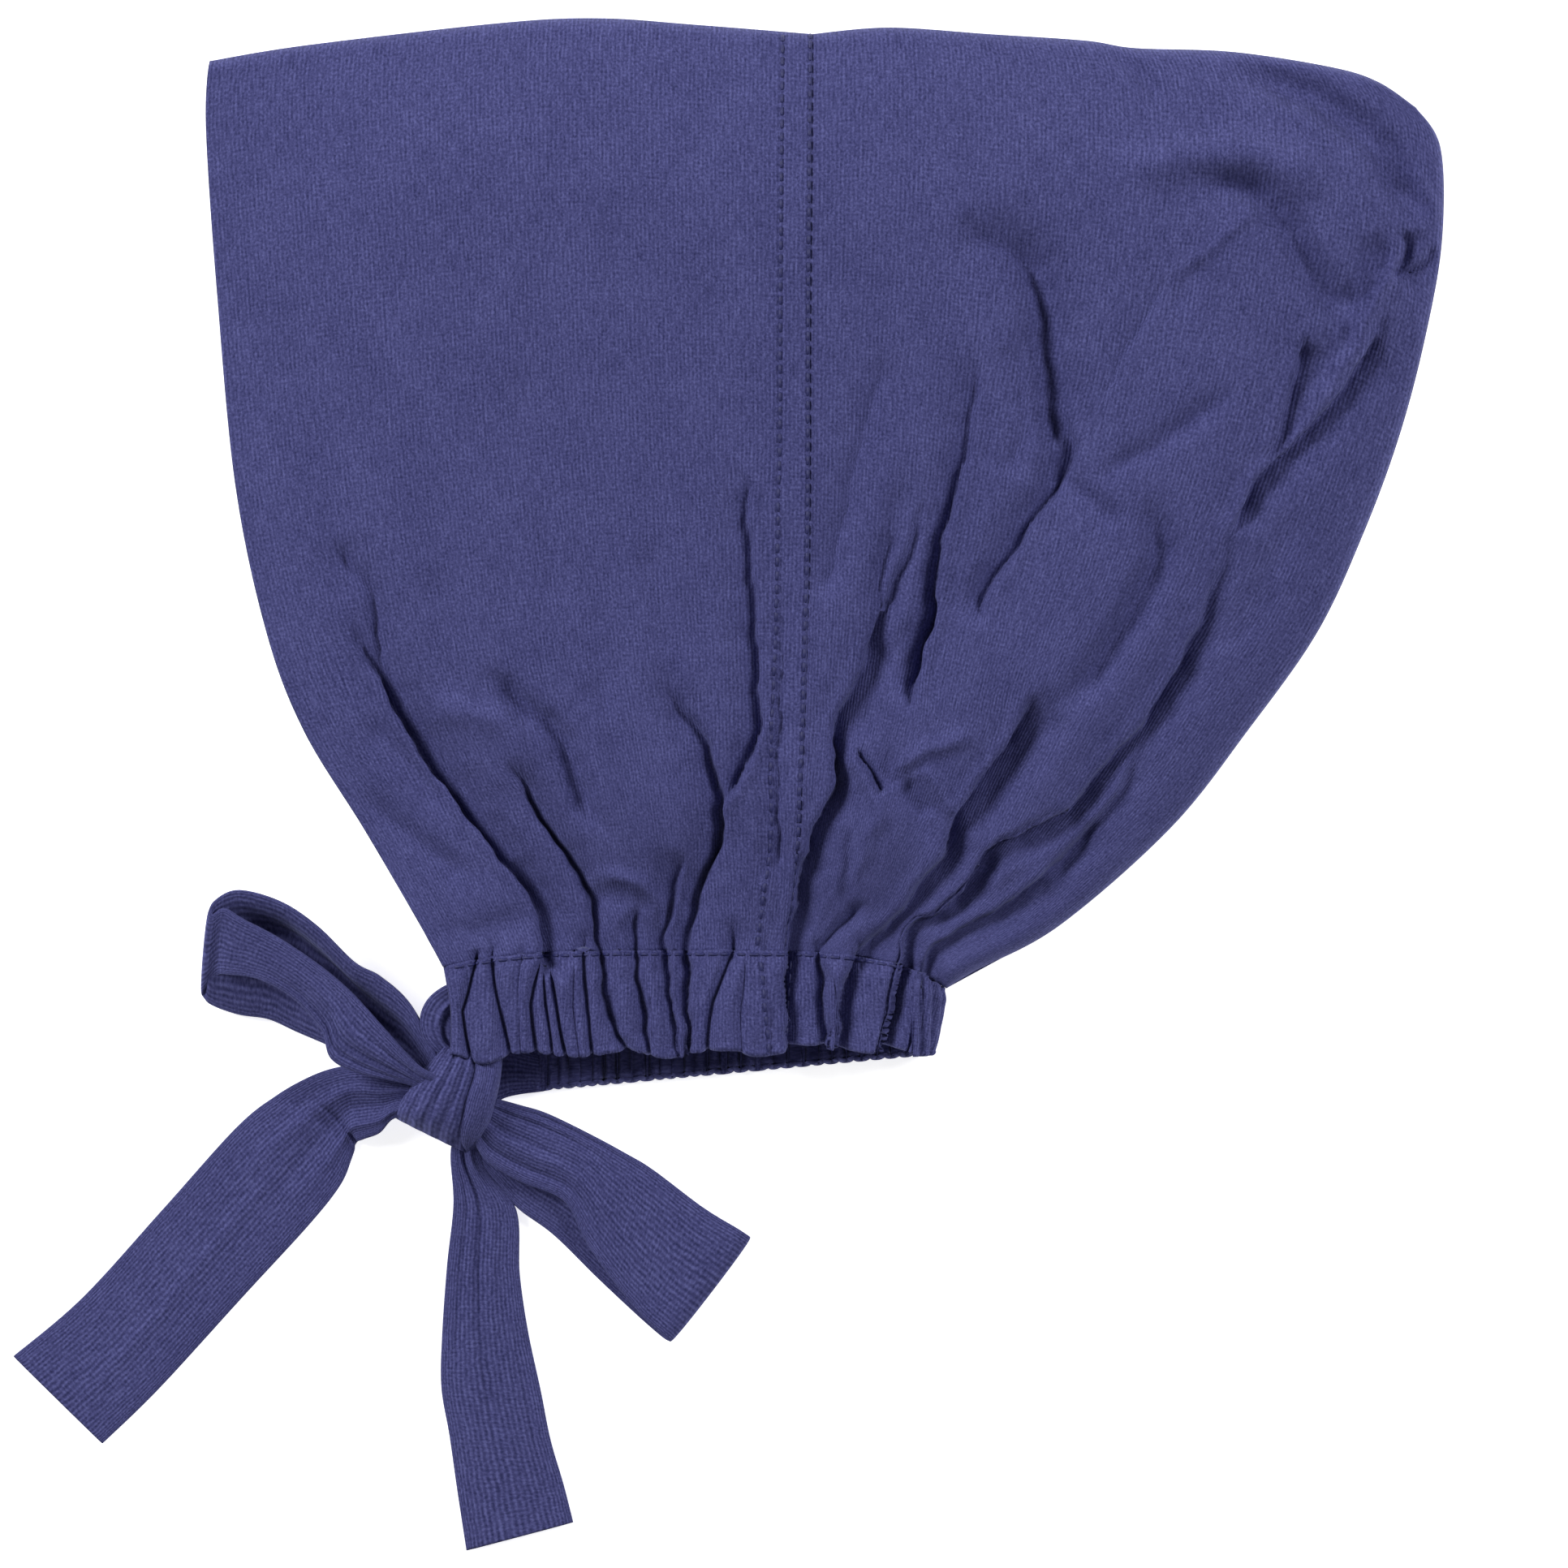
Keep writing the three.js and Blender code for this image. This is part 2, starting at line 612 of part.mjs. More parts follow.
function neckCasing() {
  const list = casingStations();
  const outer = [];
  const inner = [];
  for (let j = CASING_ROWS; j >= 0; j -= 1) {
    const down = j / CASING_ROWS;
    const bulge = mix(PLEAT_HEM, 1, Math.sin(Math.PI * down));
    const radius = CASING_HEIGHT / 2;
    outer.push(list.map((station) => {
      const pleats = station.angle === Math.PI / 2 ? pleatPress(station.share) * bulge : 0;
      return casingPoint(station, down, radius - pleats * CASING_PLEAT);
    }));
    inner.push(list.map((station) => casingPoint(station, down, radius - CASING_WALL)));
  }
  const flat = (grid) => grid.flat().flatMap((p) => [p.x, p.y, p.z]);
  return wallBetween(gridSheet(outer), flat(outer), flat(inner));
}

// Knot: an egg with a flat foot and shallow ribs of wrapped cloth running across it
const KNOT_CENTRE = new THREE.Vector3(
  NECK_START.x + KNOT_BESIDE,
  NECK_START.y - CASING_WIDTH - KNOT_BELOW,
  0,
);
const KNOT_RIBS = 5;
const KNOT_SINK = 0.46; // centre of the egg, a share of its height, so that its foot is cut flat

function knotGeometry(grow) {
  const ball = new THREE.SphereGeometry(1, KNOT_ROUND, KNOT_RINGS);
  ball.deleteAttribute('normal');
  ball.deleteAttribute('uv');
  const geometry = mergeVertices(ball, MERGE);
  const position = geometry.getAttribute('position');
  for (let i = 0; i < position.count; i += 1) {
    const p = new THREE.Vector3().fromBufferAttribute(position, i);
    const rib = grow > 0 ? KNOT_RIB : KNOT_RIB * Math.cos(p.x * KNOT_RIBS * Math.PI);
    const x = p.x * (KNOT_LENGTH / 2 + grow);
    const y = p.y * (KNOT_WIDTH / 2 + rib + grow);
    const z = KNOT_SINK * KNOT_HEIGHT + p.z * ((1 - KNOT_SINK) * KNOT_HEIGHT + rib + grow);
    position.setXYZ(i, x, y, Math.max(z, -grow));
  }
  return geometry;
}

function knotPlace() {
  return new THREE.Matrix4()
    .makeTranslation(KNOT_CENTRE.x, KNOT_CENTRE.y, 0)
    .multiply(new THREE.Matrix4().makeRotationZ(THREE.MathUtils.degToRad(KNOT_TURN)));
}

// Ribbon: its cross direction stays square to its heading in plan and leans by the row's tilt
function ribbonGrid(table, length) {
  const heading = THREE.MathUtils.degToRad(table.heading);
  const ahead = new THREE.Vector3(Math.cos(heading), Math.sin(heading), 0);
  const left = new THREE.Vector3(-ahead.y, ahead.x, 0);
  const centres = table.rows.map((row) => new THREE.Vector3(0, 0, row.lift * KNOT_HEIGHT)
    .addScaledVector(ahead, row.along * length)
    .addScaledVector(left, row.side * length)
    .add(KNOT_CENTRE));
  const path = new THREE.CatmullRomCurve3(centres, false, 'centripetal');
  const spans = table.rows.length - 1;
  const steps = RIBBON_STEPS * spans;
  const grid = [];
  for (let i = 0; i <= steps; i += 1) {
    const k = (i / steps) * spans;
    const row = Math.min(Math.floor(k), spans - 1);
    const part = smoothStep(k - row);
    const width = mix(table.rows[row].width, table.rows[row + 1].width, part) * TIE_WIDTH;
    const tilt = THREE.MathUtils.degToRad(mix(table.rows[row].tilt, table.rows[row + 1].tilt, part));
    const across = left.clone().multiplyScalar(Math.cos(tilt)).setZ(Math.sin(tilt));
    const centre = path.getPoint(k / spans);
    centre.z = Math.max(centre.z, TIE_WALL / 2);
    const line = [];
    for (let j = 0; j <= RIBBON_COLUMNS; j += 1) {
      line.push(centre.clone().addScaledVector(across, (j / RIBBON_COLUMNS - 0.5) * width));
    }
    grid.push(line);
  }
  return grid;
}

// Lead: its cross direction turns with the path, square to it in plan
function leadGrid(rows, start) {
  const centres = rows.map((row) => new THREE.Vector3(
    start.x - row.out * LEAD_WIDTH,
    mix(start.y, KNOT_CENTRE.y, row.down),
    mix(start.z, TIE_WALL / 2, row.lift),
  ));
  const path = new THREE.CatmullRomCurve3(centres, false, 'centripetal');
  const spans = rows.length - 1;
  const steps = LEAD_STEPS * spans;
  const grid = [];
  for (let i = 0; i <= steps; i += 1) {
    const k = (i / steps) * spans;
    const row = Math.min(Math.floor(k), spans - 1);
    const width = mix(rows[row].width, rows[row + 1].width, k - row) * LEAD_WIDTH;
    const ahead = i === 0 ? new THREE.Vector3(-1, 0, 0) : path.getTangent(k / spans);
    const across = new THREE.Vector3(-ahead.y, ahead.x, 0).normalize();
    const centre = path.getPoint(k / spans);
    grid.push([-0.5, 0, 0.5].map((side) => centre.clone().addScaledVector(across, side * width)));
  }
  return grid;
}

// The sheet is the ribbon's middle: half the wall goes to each side
function ribbonGeometry(grid) {
  const sheet = gridSheet(grid);
  return wallBetween(sheet, offsetPoints(sheet, TIE_WALL / 2), offsetPoints(sheet, -TIE_WALL / 2));
}

// Solids for joining and cutting
function toSolid(geometry) {
  const merged = mergeVertices(geometry, MERGE);
  return new wasm.Manifold(new wasm.Mesh({
    numProp: 3,
    vertProperties: new Float32Array(merged.getAttribute('position').array),
    triVerts: new Uint32Array(merged.index.array),
  }));
}

function toGeometry(solid) {
  const mesh = solid.getMesh();
  const geometry = new THREE.BufferGeometry();
  geometry.setAttribute('position', new THREE.Float32BufferAttribute(mesh.vertProperties, 3));
  geometry.setIndex([...mesh.triVerts]);
  return geometry;
}

// A ribbon less the knot's seat: the largest piece that is left
function trimmed(geometry, cutter) {
  const left = toSolid(geometry).subtract(cutter).decompose();
  left.sort((p, q) => q.volume() - p.volume());
  return toGeometry(left[0]);
}

function clothMaterial() {
  return new THREE.MeshStandardMaterial({
    color: COLOR,
    roughness: ROUGHNESS,
    metalness: 0,
    side: THREE.DoubleSide,
  });
}

function addPiece(group, name, geometry) {
  const piece = new THREE.Mesh(geometry, clothMaterial());
  piece.name = name;
  group.add(piece);
}

// Ends of the casing's two strips that the leads start from
function leadStarts() {
  const hem = NECK_START.y - CASING_GAP - CASING_WIDTH;
  const strip = CASING_HEIGHT - CASING_WALL / 2;
  return {
    upper: new THREE.Vector3(NECK_START.x - CASING_GAP, hem + LEAD_WIDTH / 2 + TIE_WALL, strip),
    lower: new THREE.Vector3(
      NECK_START.x + LOWER_SETBACK - CASING_GAP,
      hem - LOWER_DROP + LEAD_WIDTH * LEAD_LOWER_UP,
      TIE_WALL / 2,
    ),
  };
}

function buildCap() {
  const cap = new THREE.Group();
  addPiece(cap, 'front_panel', frontPanel());
  addPiece(cap, 'back_panel', backPanel());
  addPiece(cap, 'neck_casing', neckCasing());
  const knot = knotGeometry(0);
  knot.applyMatrix4(knotPlace());
  addPiece(cap, 'bow_knot', knot);
  const seat = knotGeometry(SEAT_GAP);
  seat.applyMatrix4(knotPlace());
  const cutter = toSolid(seat);
  const starts = leadStarts();
  const grids = [
    ['tie_lead_upper', leadGrid(LEAD_UPPER, starts.upper)],
    ['tie_lead_lower', leadGrid(LEAD_LOWER, starts.lower)],
    ['tie_tail_left', ribbonGrid(TAIL_LEFT, TAIL_LEFT_LENGTH)],
    ['tie_tail_lower', ribbonGrid(TAIL_LOWER, TAIL_LOWER_LENGTH)],
    ['bow_loop_upper', ribbonGrid(LOOP_UPPER, LOOP_UPPER_LENGTH)],
    ['bow_loop_lower', ribbonGrid(LOOP_LOWER, LOOP_LOWER_LENGTH)],
  ];
  for (const [name, grid] of grids) {
    addPiece(cap, name, trimmed(ribbonGeometry(grid), cutter));
  }
  return cap;
}

export default buildCap();
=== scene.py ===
# %% [markdown]
# # A hijab underscarf cap in knitted jersey
#
# The cap lies on its side on a white table: two layers of fine jersey with a fold along the crown and
# another down the back of the head. A seam with two stitch rows runs from crown to neck, an elastic
# casing gathers the neck into pleats, and a tie leaves the casing and ends in a bow. This notebook
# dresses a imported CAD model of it: the CAD solids hold the sizes, and the pieces made here show the
# cloth. Lengths are millimetres in the tables and functions, and metres in the meshes.

import bpy
import numpy as np
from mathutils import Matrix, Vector


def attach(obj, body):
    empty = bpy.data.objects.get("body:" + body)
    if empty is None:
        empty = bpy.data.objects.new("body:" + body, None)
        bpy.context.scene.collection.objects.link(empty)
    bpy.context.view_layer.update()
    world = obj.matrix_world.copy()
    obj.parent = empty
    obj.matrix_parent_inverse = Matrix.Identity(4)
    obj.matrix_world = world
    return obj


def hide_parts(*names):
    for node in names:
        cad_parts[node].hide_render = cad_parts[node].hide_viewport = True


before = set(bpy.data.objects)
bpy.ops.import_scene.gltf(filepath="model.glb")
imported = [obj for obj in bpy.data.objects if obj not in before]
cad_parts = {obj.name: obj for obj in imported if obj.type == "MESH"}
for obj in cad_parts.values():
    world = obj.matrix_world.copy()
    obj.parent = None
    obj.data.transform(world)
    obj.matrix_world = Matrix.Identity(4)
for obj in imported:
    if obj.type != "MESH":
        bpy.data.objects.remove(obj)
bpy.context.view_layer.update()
print("CAD nodes:", sorted(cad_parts))

# %% [markdown]
# ## The layout grid
#
# A pattern cutter draws on a squared mat. Here one step of the mat is 0.17 mm of cloth, counted right
# and down, and every outline, fold and pleat below is a short list of points on it. That keeps the
# tables easy to compare with each other, because a fold and the edge that it meets use one grid.
# The cap's own sizes are the CAD model's, so that both have the same outline.

# %% The mat, and the cap's driving sizes
STEP = 0.17
MAT_ORIGIN = (980, 670)
MAT_SIZE = 1932

CAP_LENGTH = 259
CAP_DEPTH = 195
CLOTH = 0.9
CAD_CLOTH = 1.2
EDGE_HEIGHT = 6.4
FACE_HEIGHT = 8
PUFF = 11
PUFF_REACH = 46
FACE_REACH = 70
SEAM_BAND = 6.2
SEAM_STEP = 1.2
SEAM_RELIEF = 0.45
EDGE_FADE = 12.8
FACE_FADE = 17.5
SEAM_HOLD = 0.05

CASING_LENGTH = 105
CASING_WIDTH = 22
CASING_HEIGHT = 12.6
CASING_WALL = 2.6
ARCH_FACE = 3.4
ARCH_BACK = 8
LOWER_DROP = 8.5
LOWER_SETBACK = 13
NECK_REACH = 34
NECK_TOP = CASING_HEIGHT - (CASING_WALL - CAD_CLOTH) / 2
NECK_HOLD = 0.8

ORIGIN_SHARE = (0.4754, 0.5641)
NECK_SHARE = (0.192, 1)
CASING_SEAM = 0.675


def on_mat(points):
    """Millimetres from mat steps: right is +X, down is -Y, both counted from the mat's origin."""
    steps = np.asarray(points, float)
    return (steps - MAT_ORIGIN) * (STEP, -STEP)


def on_cap(shares):
    """Millimetres from shares (u, v) of the cap's length and depth, as the CAD model places them."""
    u, v = np.asarray(shares, float).T
    return np.column_stack([(u - ORIGIN_SHARE[0]) * CAP_LENGTH, (ORIGIN_SHARE[1] - v) * CAP_DEPTH])


print("the mat is", MAT_SIZE * STEP, "mm square")

# %% [markdown]
# ## Curves
#
# Every edge is a Catmull-Rom curve: between two points it leaves and arrives in the direction of their
# neighbours, so it passes through all of them. Bézier handles would do the same with more numbers. The
# curve is sampled densely once and then read by its length, because cloth is measured by length.

# %% Smooth curves that are read by their length
CURVE_STEPS = 800
MIN_ROOM = 0.1


def smooth_curve(points):
    """Catmull-Rom curve through the points; the result takes shares 0 to 1 of its length.

    Between points p1 and p2 at weight w it is the cubic through both whose slopes there are half of
    (p2 - p0) and half of (p3 - p1). Its length is summed over short chords and inverted by table.
    """
    p = np.asarray(points, float)
    ring = np.vstack([p[:1], p, p[-1:]])
    along = np.linspace(0, len(p) - 1, CURVE_STEPS + 1)
    i = np.minimum(along.astype(int), len(p) - 2)
    w = (along - i)[:, None]
    p0, p1, p2, p3 = ring[i], ring[i + 1], ring[i + 2], ring[i + 3]
    m1 = (p2 - p0) / 2
    m2 = (p3 - p1) / 2
    dense = (2 * p1 - 2 * p2 + m1 + m2) * w**3 + (3 * p2 - 3 * p1 - 2 * m1 - m2) * w**2 + m1 * w + p1
    chord = np.linalg.norm(np.diff(dense, axis=0), axis=1)
    share = np.concatenate([[0], np.cumsum(chord)]) / chord.sum()

    def at(k):
        return np.stack([np.interp(k, share, axis) for axis in dense.T], axis=-1)

    return at


def mix(a, b, k):
    """a where k is 0, b where k is 1, and a straight line between."""
    return a + (b - a) * k


def smooth_step(k):
    """0 below 0, 1 above 1, and 3k^2 - 2k^3 between, which starts and ends level."""
    c = np.clip(k, 0, 1)
    return c * c * (3 - 2 * c)


def round_over(distance, radius):
    """Quarter circle: 0 at a fold, 1 from the radius on."""
    k = 1 - np.minimum(distance / radius, 1)
    return np.sqrt(np.maximum(1 - k * k, 0))


def swell(distance, reach):
    """Parabola: 0 at a fold, 1 from the reach on."""
    k = 1 - np.minimum(distance / reach, 1)
    return 1 - k * k


def soft_limit(drop, room):
    """The drop while it is small, and never more than the room: x / (1 + x^4)^(1/4) of the room."""
    x = np.maximum(drop, 0) / np.maximum(room, MIN_ROOM)
    return np.where(drop > 0, room * x / (1 + x**4) ** 0.25, drop)


def span(p, q):
    """Distance between matching points."""
    return np.linalg.norm(p - q, axis=-1)


def neck_point(share):
    """The stitched edge of the casing: level in the middle, dropping as the 4th power to both ends."""
    share = np.asarray(share, float)
    arch = np.where(share < 0.5, ARCH_FACE, ARCH_BACK) * (2 * share - 1) ** 4
    start = on_cap([NECK_SHARE])[0]
    return np.stack([start[0] + share * CASING_LENGTH, start[1] - arch], axis=-1)


# %% The cap's outline, a row of shares (u, v) for each point that its shape needs
CROWN_FRONT = [(0.002, 0.046), (0.08, 0.029), (0.238, 0.005), (0.317, 0), (0.395, 0.007), (0.489, 0.017)]
CROWN_BACK = [(0.489, 0.017), (0.551, 0.01), (0.632, 0.017), (0.71, 0.024), (0.75, 0.032),
              (0.828, 0.036), (0.907, 0.052), (0.946, 0.068), (0.977, 0.096)]
FACE_EDGE = [(0.174, 0.974), (0.127, 0.869), (0.079, 0.765), (0.049, 0.66), (0.024, 0.503),
             (0.009, 0.294), (0, 0.12), (0.002, 0.046)]
SEAM_LINE = [(0.479, 0.852), (0.486, 0.6), (0.487, 0.33), (0.489, 0.017)]
BACK_EDGE = [(0.621, 1.022), (0.689, 0.974), (0.779, 0.869), (0.841, 0.765), (0.897, 0.66),
             (0.934, 0.555), (0.963, 0.451), (0.984, 0.346), (0.998, 0.24), (0.997, 0.14), (0.977, 0.096)]

face_edge = smooth_curve(np.vstack([neck_point(0), on_cap(FACE_EDGE)]))
seam_line = smooth_curve(np.vstack([neck_point(CASING_SEAM), on_cap(SEAM_LINE)]))
back_edge = smooth_curve(np.vstack([neck_point(1), on_cap(BACK_EDGE)]))
crown_front = smooth_curve(on_cap(CROWN_FRONT))
crown_back = smooth_curve(on_cap(CROWN_BACK))

PANELS = {
    "front": {"left": face_edge, "right": seam_line, "top": crown_front, "shares": (0, CASING_SEAM)},
    "back": {"left": seam_line, "right": back_edge, "top": crown_back, "shares": (CASING_SEAM, 1)},
}
print("seam length", round(float(span(seam_line(np.linspace(0, 1, 99))[1:],
                                      seam_line(np.linspace(0, 1, 99))[:-1]).sum())), "mm")

# %% [markdown]
# ## Folds
#
# Laid jersey folds where the gathers of the neck run out into the body. A fold is steep on the side
# that lies over and easy on the side that it lies on, and the cloth beside it stands up a little. Cloth
# simulation would find folds of its own, but not these ones, so each is a row here: its depth, how far
# the valley reaches on its left and right hand for someone who walks along it, the lip beside it, how
# far the cloth laps over it, plus from the left and minus from the right, its strength at even steps
# along it, and its path on the mat. A path that ends at the hem runs through the stitched edge and down
# the casing.

# %% Table of creases, walked from the crown towards the neck or from left to right
CREASE_COLUMNS = ("depth", "left", "right", "lip_left", "lip_right", "over", "strength", "path")
CREASES = {
    "cheek": (4.4, 3.6, 0.8, 0, 1.4, -1.6, (0.5, 0.8, 1, 1, 1.1, 1.2), [
        (437, 745), (441, 785), (452, 815), (472, 845), (490, 880), (530, 945), (570, 1000),
        (616, 1060), (656, 1116), (668, 1172), (661, 1222)]),
    "cheek twin": (2.6, 2.4, 1.2, 0, 0.3, -0.4, (0.7, 0.6, 1), [
        (412, 662), (432, 698), (453, 716), (462, 740), (467, 775), (474, 832), (490, 865)]),
    "temple low": (4.8, 1.4, 1.8, 0.3, 1.2, -1.4, (0.5, 1, 1.1, 0.8, 0.8), [
        (620, 930), (642, 957), (656, 985), (668, 1006), (702, 1058), (726, 1097), (731, 1125),
        (742, 1192), (750, 1245), (776, 1306)]),
    "ear top": (2.5, 0.6, 3.4, 1.2, 0, 0.8, (0.5, 0.9, 0.9, 1.1, 1.3), [
        (898, 566), (920, 600), (923, 650), (928, 705), (931, 760), (935, 850), (935, 905),
        (922, 940), (900, 985), (890, 1010)]),
    "ear low": (5.2, 1.5, 2.2, 1.0, 0.2, 1.3, (0.3, 0.6, 1.2, 0.9, 0.9), [
        (812, 815), (832, 862), (866, 910), (880, 950), (891, 1002), (889, 1034), (868, 1094),
        (853, 1148), (852, 1200), (854, 1300)]),
    "ear neck": (3.8, 1.3, 2.6, 0.6, 0, 0.7, (0.6, 1.1, 1), [
        (842, 1035), (836, 1078), (826, 1115), (820, 1160), (828, 1230), (838, 1308)]),
    "cheek roll": (3.8, 1.2, 1.2, 0.3, 0.3, 0, (0.8, 1.1, 0.9), [
        (787, 1112), (783, 1160), (786, 1200), (794, 1255), (801, 1300)]),
    "seam ditch": (2.2, 1.1, 2.2, 0, 0, 0, (0.3, 0.7, 1, 1.2), [
        (972, 600), (968, 760), (966, 850), (962, 950), (953, 1115)]),
    "seam fold": (4.6, 4.2, 0.9, 0.2, 1.2, -1.3, (0.3, 0.5, 0.8, 1.1, 1.1, 1), [
        (1146, 560), (1128, 650), (1112, 700), (1080, 768), (1062, 822), (1034, 882), (1026, 912),
        (1030, 960), (1009, 1006), (992, 1058), (978, 1120), (968, 1172), (966, 1230), (968, 1300)]),
    "seam fold branch": (2.6, 1.4, 1.8, 0.3, 0, 0.4, (0.5, 1), [
        (1094, 650), (1084, 700), (1077, 745), (1066, 805)]),
    "seam side": (1.7, 3.2, 2.2, 0.2, 0, 0, (0.7, 1), [
        (1088, 425), (1078, 490), (1060, 545), (1044, 620), (1026, 690), (1014, 750)]),
    "brow": (4.2, 0.8, 3.4, 1.4, 0, 1.0, (0.3, 0.5, 0.8, 1.3, 1), [
        (1205, 420), (1198, 500), (1188, 565), (1166, 645), (1155, 700), (1152, 760), (1132, 822),
        (1125, 852), (1114, 890)]),
    "brow short": (1.4, 2.6, 3.0, 0, 0, 0, (1, 0.8), [(1243, 420), (1258, 480), (1257, 545), (1235, 600)]),
    "valley": (3.4, 3.8, 3.2, 0.3, 0.5, -0.2, (0.6, 0.9, 1), [
        (1178, 262), (1203, 300), (1240, 318), (1267, 336), (1281, 380), (1288, 440), (1301, 575)]),
    "valley loop": (3.0, 1.3, 3.8, 1.2, 0, 0.9, (0.6, 1, 0.9, 0.9), [
        (1300, 485), (1316, 530), (1320, 568), (1306, 598), (1272, 645), (1242, 690), (1216, 735),
        (1200, 785)]),
    "nape": (4.6, 3.6, 1.0, 0, 1.5, -1.3, (0.3, 1.1, 1.1, 0.9, 0.8, 1, 0.9), [
        (1300, 846), (1262, 875), (1234, 922), (1200, 965), (1172, 1002), (1155, 1050), (1121, 1092),
        (1085, 1136), (1052, 1178), (1040, 1205), (1035, 1240), (1030, 1300)]),
    "back top": (3.8, 2.6, 0.8, 0, 1.6, -1.3, (0.8, 0.9, 1), [
        (1700, 400), (1672, 448), (1638, 498), (1600, 540), (1552, 586), (1530, 618), (1514, 668)]),
    "long": (5.4, 3.0, 0.9, 0, 1.5, -1.4, (0.35, 0.4, 0.9, 0.6, 1, 0.9, 0.9, 1), [
        (1530, 618), (1498, 705), (1462, 796), (1412, 878), (1351, 949), (1301, 1003), (1227, 1038),
        (1206, 1060), (1186, 1094), (1158, 1118), (1126, 1136), (1112, 1162), (1106, 1200), (1092, 1255),
        (1084, 1300)]),
    "long twin": (2.4, 0.5, 0.6, 0, 0.5, -0.4, (0.6, 1, 1), [
        (1324, 972), (1274, 1001), (1225, 1024), (1198, 1049), (1178, 1082), (1146, 1110), (1118, 1125),
        (1100, 1152), (1092, 1195), (1080, 1250), (1072, 1300)]),
    "hem": (4.6, 2.6, 1.0, 0, 1.3, -1.2, (0.3, 0.35, 0.5, 0.9, 1.1, 1), [
        (1436, 837), (1413, 891), (1394, 945), (1368, 990), (1328, 1036), (1289, 1076), (1250, 1104),
        (1212, 1130), (1170, 1153), (1142, 1180), (1137, 1235), (1130, 1300)]),
    "tuck": (3.4, 1.4, 1.0, 0, 0.9, 0, (0.5, 1, 1), [(1729, 284), (1728, 306), (1722, 328), (1712, 350)]),
    "tuck edge": (3.2, 0.7, 1.2, 0.8, 0, -0.5, (0.4, 1, 1, 0.8), [
        (1718, 346), (1732, 339), (1746, 331), (1757, 320), (1765, 304)]),
    "back line": (1.1, 1.0, 2.6, 0.2, 0, 0, (0.7, 0.6), [(1694, 392), (1700, 430), (1710, 485)]),
    "cuff": (3.0, 3.0, 0.7, 0, 0.9, -0.7, (1, 0.9, 0.6), [
        (1608, 418), (1596, 440), (1585, 480), (1570, 525), (1550, 572)]),
    "back light": (0.9, 0.8, 1.6, 0.4, 0, 0, (0.6, 1, 0.4), [
        (1442, 340), (1410, 392), (1378, 452), (1350, 512)]),
    "tip": (2.6, 1.0, 1.2, 0.4, 0.9, 0, (1, 1), [(1054, 922), (1069, 944), (1084, 978)]),
    "gather q": (4.0, 1.2, 1.6, 0.7, 0, 0.6, (0.7, 1, 1), [
        (1066, 1098), (1045, 1122), (1014, 1157), (1005, 1178), (1008, 1215), (1009, 1300)]),
}

